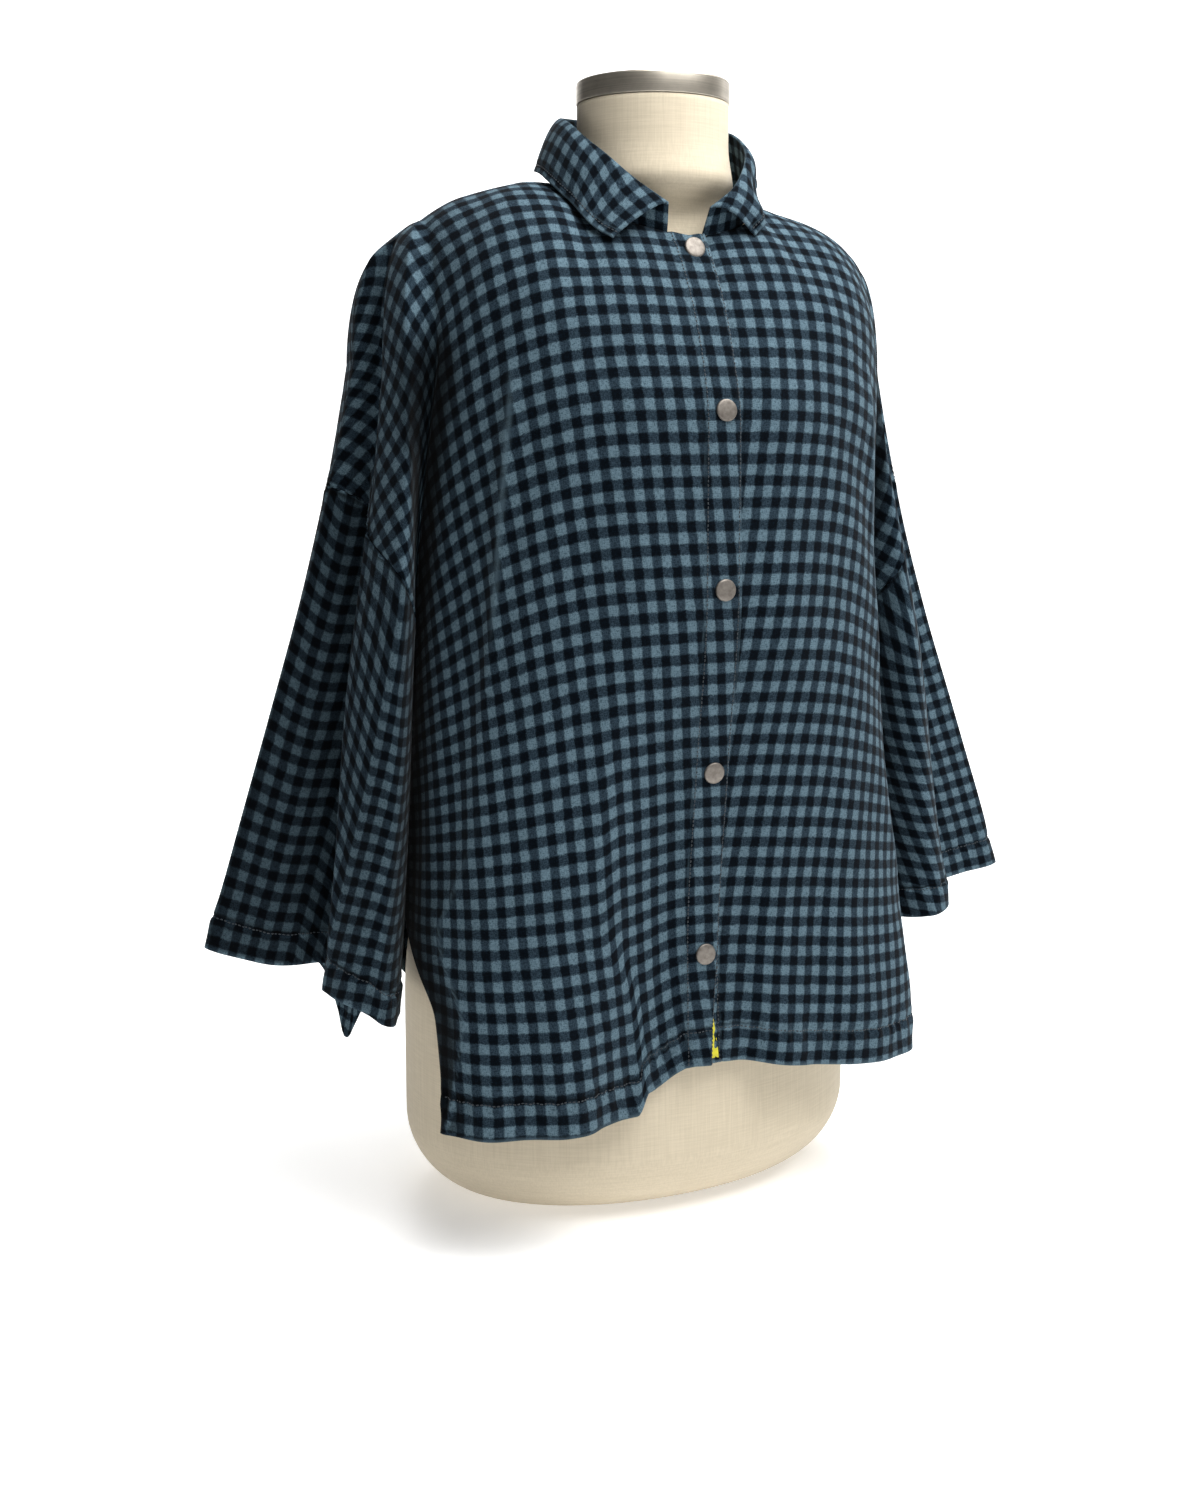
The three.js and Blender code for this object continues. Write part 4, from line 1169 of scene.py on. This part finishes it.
def make_front(name, side):
    """A front: the half surface with its lap, the left one tucked in under the right, plus
    its small forms along the normals, as a shell of one layer of cloth; and its stitches."""
    hem, check = length_of("hem"), length_of("check")
    u, v = front_grid(side)
    p = half_point(-1, side, u, v)
    p[..., 1] -= 0.2 * at_seam(u, v)
    if side > 0:
        tuck = LAP_IN * smooth(52, 16, p[..., 0])
        p[..., 1] += tuck
        p[..., 2] -= np.where(v < 1, tuck * 0.7 * smooth(24, 12, p[..., 0]), 0)
    valid, filled = cloth_part(p, u, v)
    cut, s = cut_of_half(-1, side, filled, u, v, int(np.argmin(np.abs(u[0]))))
    relief = front_relief(side, s, p[..., 2], u, v) + cap_relief(side, -1, u, v, s, p[..., 2])
    n = normals_towards([0, -1, 0], p, valid)
    p = p + n * relief[..., None]
    away = p[..., 2] - front_hem(side, u)
    worn = front_wear_and_shade(side, s, p[..., 2], u, v)
    piece = shell(name, p, cut / check, valid, layers(away, hem), flip=side < 0, worn=worn)
    body = slice(0, int(np.argmax(u[0] >= 1)))
    low = v[:, 0] >= 2
    rows = [stitches_at(p[low, body], n[low, body], -away[low, body], -hem, 0)]
    band_row = length_of("placket") - LAP[-1] - ROW_IN
    for value in ((EDGE_ROW, band_row) if side < 0 else (LEFT_ROW,)):
        rows.append(stitches_at(p[:, body], n[:, body], s[:, body], value, 1))
    return piece, rows


class SHIRT_OT_fronts(bpy.types.Operator):
    """Right front with its band over the left one, each with bust crease and hem"""

    bl_idname = "shirt.fronts"
    bl_label = "Fronts"

    def execute(self, context):
        for side, word in SIDES:
            piece, rows = make_front(f"{word}_front_cloth", side)
            sew(f"{word}_front", piece, rows, f"front_{word}")
        return {"FINISHED"}


def half_back(side, u, v):
    """Half of the back: points, place in the cut, where it has cloth, relief, u and v, and
    how near each point is to the centre back."""
    p = half_point(1, side, u, v)
    p[..., 1] += 0.2 * at_seam(u, v)
    valid, filled = cloth_part(p, u, v)
    cut, s = cut_of_half(1, side, filled, u, v, 0)
    z = p[..., 2]
    relief = ripple(side * s, z, 11) * 1.2 * smooth(0, 0.3, v) * smooth(1.0, 0.96, u)
    hem = length_of("hem")
    relief += hem_relief(side * s, z - BACK_HEM_Z, hem, 5) * (v > 2)
    relief += cap_relief(side, 1, u, v, s, z)
    near = smooth(170, 0, s)
    cut[..., 0] = side * (cut[..., 0] - cut[:, :1, 0] * near)
    return p, cut, valid, relief, u, v, near


class SHIRT_OT_back(bpy.types.Operator):
    """Back panel from overarm to overarm"""

    bl_idname = "shirt.back"
    bl_label = "Back"

    def execute(self, context):
        hem, cap = length_of("hem"), 34
        us, vs = spread((0, 1, 2), (91, cap)), spread((0, 1, 2, 3), (36, 50, 79))
        v, u = np.meshgrid(vs, us, indexing="ij")
        halves = [half_back(side, u, v) for side, _ in SIDES]
        middle = sum(cut[:, :1, 1] for _, cut, *_ in halves) / 2
        for _, cut, *_, near in halves:
            cut[..., 1] += (middle - cut[:, :1, 1]) * near
        p, cut, valid, relief, u, v, _ = (
            np.concatenate([a[:, ::-1], b[:, 1:]], 1) for a, b in zip(*halves))
        n = normals_towards([0, 1, 0], p, valid)
        p = p + n * relief[..., None]
        away = p[..., 2] - BACK_HEM_Z
        # Pale wear at the hem, a painted shadow just above its stitch row and painted shade in the deep
        # fold.
        worn = np.clip(hem_wear_and_shadow(away, hem) - fold_shade(u, v, p[..., 2]), -1, 1)
        cut = cut / length_of("check")
        piece = shell("back_cloth", p, cut, valid, layers(away, hem), flip=True, worn=worn)
        low, wide = vs >= 2, slice(cap + 1, 2 * len(us) - cap - 2)
        rows = [stitches_at(p[low, wide], n[low, wide], -away[low, wide], -hem, 0)]
        sew("back", piece, rows, "back")
        return {"FINISHED"}


def sleeve_seam(ts):
    """Height of the sleeve seam at places round the sleeve: for each, the q whose place on
    the seam it is, by halving, and the seam's height there."""
    ahead = ts <= OUTER
    zero = out = np.zeros_like(ts)
    for end, pick, place, goal in ((-1, ahead, ts, OUTER), (1, ~ahead, ts - 1, OUTER - 1)):

        def before(q):
            return np.abs(mix(notch_on_arm(end, seam_height(q)), goal, q)) < np.abs(place)

        out = np.where(pick, seam_height(bisect(before, zero, zero + 1)), out)
    return out


def cuff_height(side, t, x, limp=1):
    """Height of the cuff edge: lower towards the body, and on the right with a lift in
    front and a limp corner behind."""
    inward = look(ARM, "outer", CUFF_Z) - np.abs(x)
    if side > 0:
        return CUFF_Z - 0.14 * inward
    low = CUFF_Z - 0.36 * inward + 13 * bell(t - 0.40, 0.055) - 6 * bell(t - 0.16, 0.05)
    return low - limp * 52 * bell(t - 0.86, 0.034)


def make_sleeve(name, side):
    """A sleeve: the arm outline carried from the seam down to the cuff, with the fold down its
    front, thin lengthwise creases, puckers at the seam and a turned hem; and its stitches."""
    hem = length_of("cuff_hem")
    ts = np.arange(168) / 168
    x = arm_point(1, ts, CUFF_Z)[..., 0]
    top, low, straight = sleeve_seam(ts), cuff_height(side, ts, x), cuff_height(side, ts, x, 0)
    v, t = np.meshgrid(spread((0, 0.1, 0.9, 1), (12, 73, 16)), ts, indexing="ij")
    z = mix(top, low, v)
    p = arm_point(side, t, z)
    run = length_along(np.concatenate([p, p[:, :1]], 1), 1)
    s = run[:, :-1] - run[:, [int(round(OUTER * len(ts)))]]
    lift, seam = z - low, top - z

    fore = np.clip(-s, 0, None)
    rise = 0.8 * np.clip(fore - 62, 0, 60) - 0.25 * np.clip(fore - 122, 0, None)
    cut = np.stack([s, SLEEVE_CUT - (z - straight) - rise * smooth(0, 0.5, v + 0.2)], -1)

    front_line = t - 0.315 - 0.01 * np.sin(z / 47)
    relief = 1.8 * bell(front_line, 0.011) - 1.2 * bell(t - 0.345, 0.018)
    relief += 1.0 * bell(t - 0.272 + 0.012 * np.sin(z / 36), 0.010) * smooth(360, 430, z)
    relief += 0.8 * bell(t - 0.475 + 0.01 * np.sin(z / 52), 0.016)
    relief += puckers(s, 9.0, 1.2, 13, seam, 8) * 0.8 - 0.7 * bell(seam, 1.6)
    relief += ripple(s, z, 21 + side) * 0.7 + hem_relief(s, lift, hem, 31 + side)
    n = normals_towards(p - p.mean(axis=(0, 1)), p, loop=True)
    p = p + n * relief[..., None]

    # Painted shade: the right sleeve's front and outer facets are painted darker.
    sleeve_shade = 0.34 * smooth(0.13, 0.2, t) + 0.30 * smooth(0.31, 0.37, t) - 0.64 * smooth(0.6, 0.7, t)
    worn = -sleeve_shade * (side < 0) + 0.7 * bell(front_line, 0.004) + 0.5 * bell(t - OUTER, 0.006)
    # Pale wear along the hem and the seam, with a painted shadow just below the seam.
    worn += hem_wear_and_shadow(lift, hem) + 0.6 * bell(seam, 1.5) - 0.5 * bell(seam - 2.4, 1.1)
    # The inner wall by the deep fold is painted dark on both sleeves: painted shade.
    inner = np.minimum(np.abs(t - 0.06), 1 - np.abs(t - 0.06))
    worn = np.clip(worn - 0.9 * bell(inner, 0.10), -1, 1)
    cut = cut / length_of("check")
    piece = shell(name, p, cut, None, layers(lift, hem), loop=True, flip=side < 0, worn=worn)
    return piece, [stitches_at(p, n, -lift, -hem, 0)]


class SHIRT_OT_sleeves(bpy.types.Operator):
    """Both sleeves from the dropped seam to the turned cuff"""

    bl_idname = "shirt.sleeves"
    bl_label = "Sleeves"

    def execute(self, context):
        for side, word in SIDES:
            piece, rows = make_sleeve(f"{word}_sleeve_cloth", side)
            sew(f"{word}_sleeve", piece, rows, f"sleeve_{word}")
        return {"FINISHED"}


def neck_point(side, seat):
    """Point of the neckline, from the centre back over the shoulder to the front."""
    at = np.where(seat < AT_NECK, seat, 2 * AT_NECK - seat)
    x, y, z = (
        np.where(seat < AT_NECK, look(NECK_BACK, name, at), look(NECK_FRONT, name, at))
        for name in "xyz")
    return point(side * x, y, z)


def collar_point(t, w):
    """Collar: straight from the neckline up to the fold for w below STAND, then a bowed fall
    from the fold down to the free edge; t runs from the right end to the left end."""
    side = np.where(t < 0, -1, 1)
    a = np.abs(t) * np.where(side < 0, 165, 167)
    trim = np.where(side > 0, 13 * smooth(30, 120, a), 0)
    seat, fold_r, fold_z, edge_r, edge_z, edge_a = (
        look(COLLAR, name, a) for name in ("seat", "fr", "fz", "er", "ez", "ea"))

    def spot(r, z, degrees):
        g = np.radians(degrees)
        return point(side * r * np.sin(g), NECK_Y + r * np.cos(g), z)

    top, edge = spot(fold_r, fold_z, a), spot(edge_r - trim, edge_z + trim * 0.75, edge_a)
    foot = neck_point(side, seat)
    axis = point(0, NECK_Y, foot[..., 2] - 30)
    foot = foot + (axis - foot) * 0.05 + np.array([0, 0, 0.5])
    stand = mix(foot, top, (np.clip(w, 0, STAND) / STAND)[..., None])
    k = np.clip((w - STAND) / (1 - STAND), 0, 1)
    out = 3.4 * np.sin(math.pi * k**0.6)
    g = side * np.radians(mix(a, edge_a, k))
    fall = mix(top, edge, k[..., None]) + point(out * np.sin(g), out * np.cos(g), out * 0.8)
    return np.where((w < STAND)[..., None], stand, fall)


class SHIRT_OT_collar(bpy.types.Operator):
    """Collar, folded over its stand, with its topstitched edge"""

    bl_idname = "shirt.collar"
    bl_label = "Collar"

    def execute(self, context):
        ws = spread((0, 0.34, 0.5, 1), (15, 15, 33))
        w, t = np.meshgrid(ws, np.linspace(-1, 1, 190), indexing="ij")
        p = collar_point(t, w)
        s = length_along(p, 1)[int(len(ws) * 0.6)] + 0 * w
        down = length_along(p, 0)
        end = down[-1] - down
        k = np.clip((w - STAND) / (1 - STAND), 0, 1)
        relief = k * (1.1 * np.sin(s / 17 + 0.8) * bell(k - 0.7, 0.5) + 0.7 * np.sin(s / 9.5))
        relief -= 0.5 * bell(end - COLLAR_ROW, 1.1)
        crumple = 2.6 * np.sin(s / 9.5 + 2.4 * k) + 1.5 * np.sin(s / 5.2 - 5 * k)
        relief += smooth(0.3, 0.8, t) * k * crumple
        relief += 1.6 * smooth(-0.55, -0.9, t) * k * np.sin(s / 8.5 + 3 * k)
        n = normals_of(p, flip=True)
        p = p + n * relief[..., None]
        # Pale as wear along the free edge, beyond the stitch row and along the fold, and painted dark just
        # on the edge's side of the stitch row as a painted shadow.
        worn = 0.9 * bell(end, 1.3) + 0.5 * bell(end - 6.4, 0.9) - 0.6 * bell(end - 4.4, 0.9)
        worn = np.clip(worn + 0.6 * bell(w - STAND, 0.012), -1, 1)
        cut = np.stack([s, down + 3], -1) / length_of("check")
        thick = length_of("cloth") * COLLAR_LAYERS
        piece = shell("collar_cloth", p, cut, thick=thick, flip=True, worn=worn)
        low = ws > 0.6
        rows = [stitches_at(p[low], n[low], -end[low], -COLLAR_ROW, 0)]
        sew("collar", piece, rows, "collar")
        return {"FINISHED"}


def place_on_front(z):
    """Centre-front point at a height with its up and outward directions."""
    vs = np.arange(0.02, 2.98, 0.002)
    line = half_point(-1, -1, np.zeros_like(vs), vs)
    k = int(np.argmin(np.abs(line[:, 2] - z)))
    up = whole(line[k - 10] - line[k + 10])
    out = whole(np.cross(up, [-1.0, 0, 0]))
    return line[k], up, out if out[1] < 0 else -out


class SHIRT_OT_snaps(bpy.types.Operator):
    """Five round snap caps down the band, the top one raised and turned more to the front"""

    bl_idname = "shirt.snaps"
    bl_label = "Snaps"

    def execute(self, context):
        form = context.scene.form
        metal = brushed("snap_nickel", tuple(form.snap), tuple(form.snap_shade), 0.5, (300.0,) * 3)
        radius = np.array([6.4, 7.3, 7.6, 7.62, 7.45, 7.1, 6.4, 5.2, 3.6, 1.8, 0.5])
        height = np.array([0.0, 0.15, 0.6, 1.2, 1.7, 2.0, 2.2, 2.36, 2.46, 2.5, 2.52])
        across = np.array([1.0, 0, 0])
        for k, z in enumerate(SNAP_Z):
            at, up, out = place_on_front(z)
            raised, lowered = (2.2, 2.0) if k == 0 else (0.4, 0)
            if k == 0:
                out = whole(out + [0, -1.0, 0])
                up = np.cross(out, across)
            centre = at + out * (height[:, None] + raised) - up * lowered
            piece = revolve(f"snap_cap_{k + 1}", centre, radius, (across, up), 56)
            finish_piece(piece, metal, f"snap_{k + 1}")
        return {"FINISHED"}


class SHIRT_OT_tab(bpy.types.Operator):
    """Small plain yellow tab between the fronts at the hem"""

    bl_idname = "shirt.tab"
    bl_label = "Hem tab"

    def execute(self, context):
        v, k = np.meshgrid(np.linspace(2.78, 2.985, 26), np.linspace(0, 1, 14), indexing="ij")
        x = mix(-9, mix(8, 15, smooth(2.84, 3, v)), k)
        p = half_point(-1, 1, x / HALF_CHEST, v)
        p[..., 1] += LAP_IN - 3.0 + 0.12 * np.sin(k * 9) * (v - 2.78)
        piece = shell("hem_tab_tape", p, np.stack([k, v], -1), thick=TAPE_THICK)
        finish_piece(piece, tape("tab_tape", tuple(context.scene.shirt.tab)), "hem_tab")
        return {"FINISHED"}


def form_ring(z, shrink, turn):
    """Superellipse ring of the dress form at a height, drawn in by a shrink at its foot."""
    half, fore, aft, n = (
        look(FORM, name, z)[:, None] for name in ("half", "front", "back", "square"))
    draw = np.broadcast_to(shrink, z.shape)[:, None]
    mid = mix(0, NECK_Y, smooth(600, 724, z))[:, None]
    c, s = circle(turn)
    deep = np.where(s < 0, mid - fore - draw, aft - draw - mid)
    r = ((np.abs(c) / (half - draw)) ** n + (np.abs(s) / deep) ** n) ** (-1 / n)
    return point(r * c, mid + r * s, z[:, None])


class SHIRT_OT_form(bpy.types.Operator):
    """Linen dress form and its brushed neck cap"""

    bl_idname = "shirt.form"
    bl_label = "Dress form"

    def execute(self, context):
        form = context.scene.form
        turn, foot_round = 144, 58.0
        up = foot_round * np.linspace(0, 1, 18)[:-1] ** 1.3
        tuck = foot_round - np.sqrt(foot_round**2 - (foot_round - up) ** 2)
        low = form_ring(np.full_like(up, 56.0), tuck, turn)
        low[..., 2] = (up - LIFT)[:, None]
        levels = spread((50, 640, 644, NECK_CAP_Z), (59, 1, 45))
        c, s = circle(turn)
        flare = 54.5 + 5.5 * smooth(762, 716, levels)[:, None]
        neck = point(flare * c, NECK_Y + flare * s, levels[:, None])
        rings = mix(form_ring(levels, 0, turn), neck, smooth(706, 738, levels)[:, None, None])
        piece = closed_stack("form_linen_body", np.concatenate([low, rings]))
        weave = linen("form_linen_weave", tuple(form.cover), tuple(form.cover_shade))
        finish_piece(piece, weave, "form_torso")

        radius = np.array([53.6, 54.9, 55.1, 55.1, 54.9, 54.5, 53.8, 40, 20, 2])
        height = np.array([0.5, 0.6, 1.2, 13.8, 14.8, 15.3, 15.5, 15.5, 15.5, 15.5])
        centre = point(0, NECK_Y, NECK_CAP_Z + height)
        cap = revolve("form_cap", centre, radius, np.eye(3)[:2], turn)
        metal = brushed("cap_brushed", tuple(form.cap), tuple(form.cap_shade), 0.34, (8.0, 8.0, 900.0))
        finish_piece(cap, metal, "form_neck_cap")
        return {"FINISHED"}


def aim(obj, place, at):
    """Puts a light or camera in place and turns it to a point."""
    obj.location = place
    obj.rotation_mode = "QUATERNION"
    obj.rotation_quaternion = (Vector(at) - Vector(place)).to_track_quat("-Z", "Y")


class SHIRT_OT_stage(bpy.types.Operator):
    """Camera at the photograph's angle, soft light and a pale paper sweep"""

    bl_idname = "shirt.stage"
    bl_label = "Stage"

    def execute(self, context):
        scene, stage = context.scene, context.scene.stage
        data = bpy.data.cameras.new("camera")
        data.sensor_width = 36.0
        data.lens = stage.lens
        data.shift_y = -0.0717
        data.clip_start, data.clip_end = 0.05, 60.0
        camera = bpy.data.objects.new("camera", data)
        scene.collection.objects.link(camera)
        eye = Vector((-0.5494, -1.2182, 0.572))
        aim(camera, eye, eye + Vector((0.3932, 0.9116, -0.1201)))
        scene.camera = camera
        for name, power, size, place in (
            ("key_light", stage.key, 1.3, (0.24, -0.78, 1.70)),
            ("rear_light", stage.fill, 1.6, (1.0, 2.5, 1.9)),
            ("top_light", stage.fill * 0.8, 1.4, (0.46, -0.36, 1.95)),
        ):
            light = bpy.data.lights.new(name, "AREA")
            light.energy, light.size = power, size
            lamp = bpy.data.objects.new(name, light)
            lamp.visible_camera = False
            scene.collection.objects.link(lamp)
            aim(lamp, place, (0.0, 0.0, 0.45))
        scene.world = bpy.data.worlds.new("soft_sky")
        scene.world.use_nodes = True
        colour, strength = scene.world.node_tree.nodes["Background"].inputs[:2]
        colour.default_value = WHITE
        strength.default_value = stage.sky
        scene.view_settings.view_transform = "Standard"
        floor = paper_sweep("floor_sweep")
        floor.data.materials.append(plain("floor_paper", tuple(stage.floor)))
        return {"FINISHED"}


def paper_sweep(name):
    """Level paper that bends up through a quarter circle behind the form, turned a little
    to face the camera."""
    bend, start, near, high = 1.6, 2.2, -6.0, 7.0
    a = np.linspace(0, math.pi / 2, 25)[1:]
    run = np.concatenate([[near, 0, start], start + bend * np.sin(a), [start + bend] * 2])
    rise = np.concatenate([[0, 0, 0], bend - bend * np.cos(a), [3.0, high]])
    across = np.linspace(-8, 8, 9)
    turn = math.radians(-25)
    x = across * math.cos(turn) - run[:, None] * math.sin(turn)
    y = across * math.sin(turn) + run[:, None] * math.cos(turn)
    p = point(x, y, rise[:, None]) * 1000 - [0, 0, LIFT]
    number = np.arange(x.size).reshape(x.shape)
    corners = number[:-1, :-1], number[:-1, 1:], number[1:, 1:], number[1:, :-1]
    return mesh_piece(name, p.reshape(-1, 3), np.stack(corners, -1).reshape(-1, 4))


class SHIRT_PT_panel(bpy.types.Panel):
    """Buttons and settings of the shirt"""

    bl_idname = "SHIRT_PT_panel"
    bl_label = "Shirt on a dress form"
    bl_space_type = "VIEW_3D"
    bl_region_type = "UI"
    bl_category = "Shirt"

    def draw(self, context):
        for step in STEPS:
            self.layout.operator(step.bl_idname)
        for name, group in GROUPS.items():
            box = self.layout.box()
            for setting in group.__annotations__:
                box.prop(getattr(context.scene, name), setting)


STEPS = (
    SHIRT_OT_stage,
    SHIRT_OT_form,
    SHIRT_OT_fronts,
    SHIRT_OT_back,
    SHIRT_OT_sleeves,
    SHIRT_OT_collar,
    SHIRT_OT_snaps,
    SHIRT_OT_tab,
)
GROUPS = {"shirt": ShirtSettings, "form": FormSettings, "stage": StageSettings}
CLASSES = (*GROUPS.values(), *STEPS, SHIRT_PT_panel)


def register():
    for cls in CLASSES:
        bpy.utils.register_class(cls)
    for name, group in GROUPS.items():
        setattr(bpy.types.Scene, name, bpy.props.PointerProperty(type=group))


def unregister():
    for name in GROUPS:
        delattr(bpy.types.Scene, name)
    for cls in reversed(CLASSES):
        bpy.utils.unregister_class(cls)


def main():
    register()
    for step in STEPS:
        group, name = step.bl_idname.split(".")
        getattr(getattr(bpy.ops, group), name)()


if __name__ == "__main__":
    main()
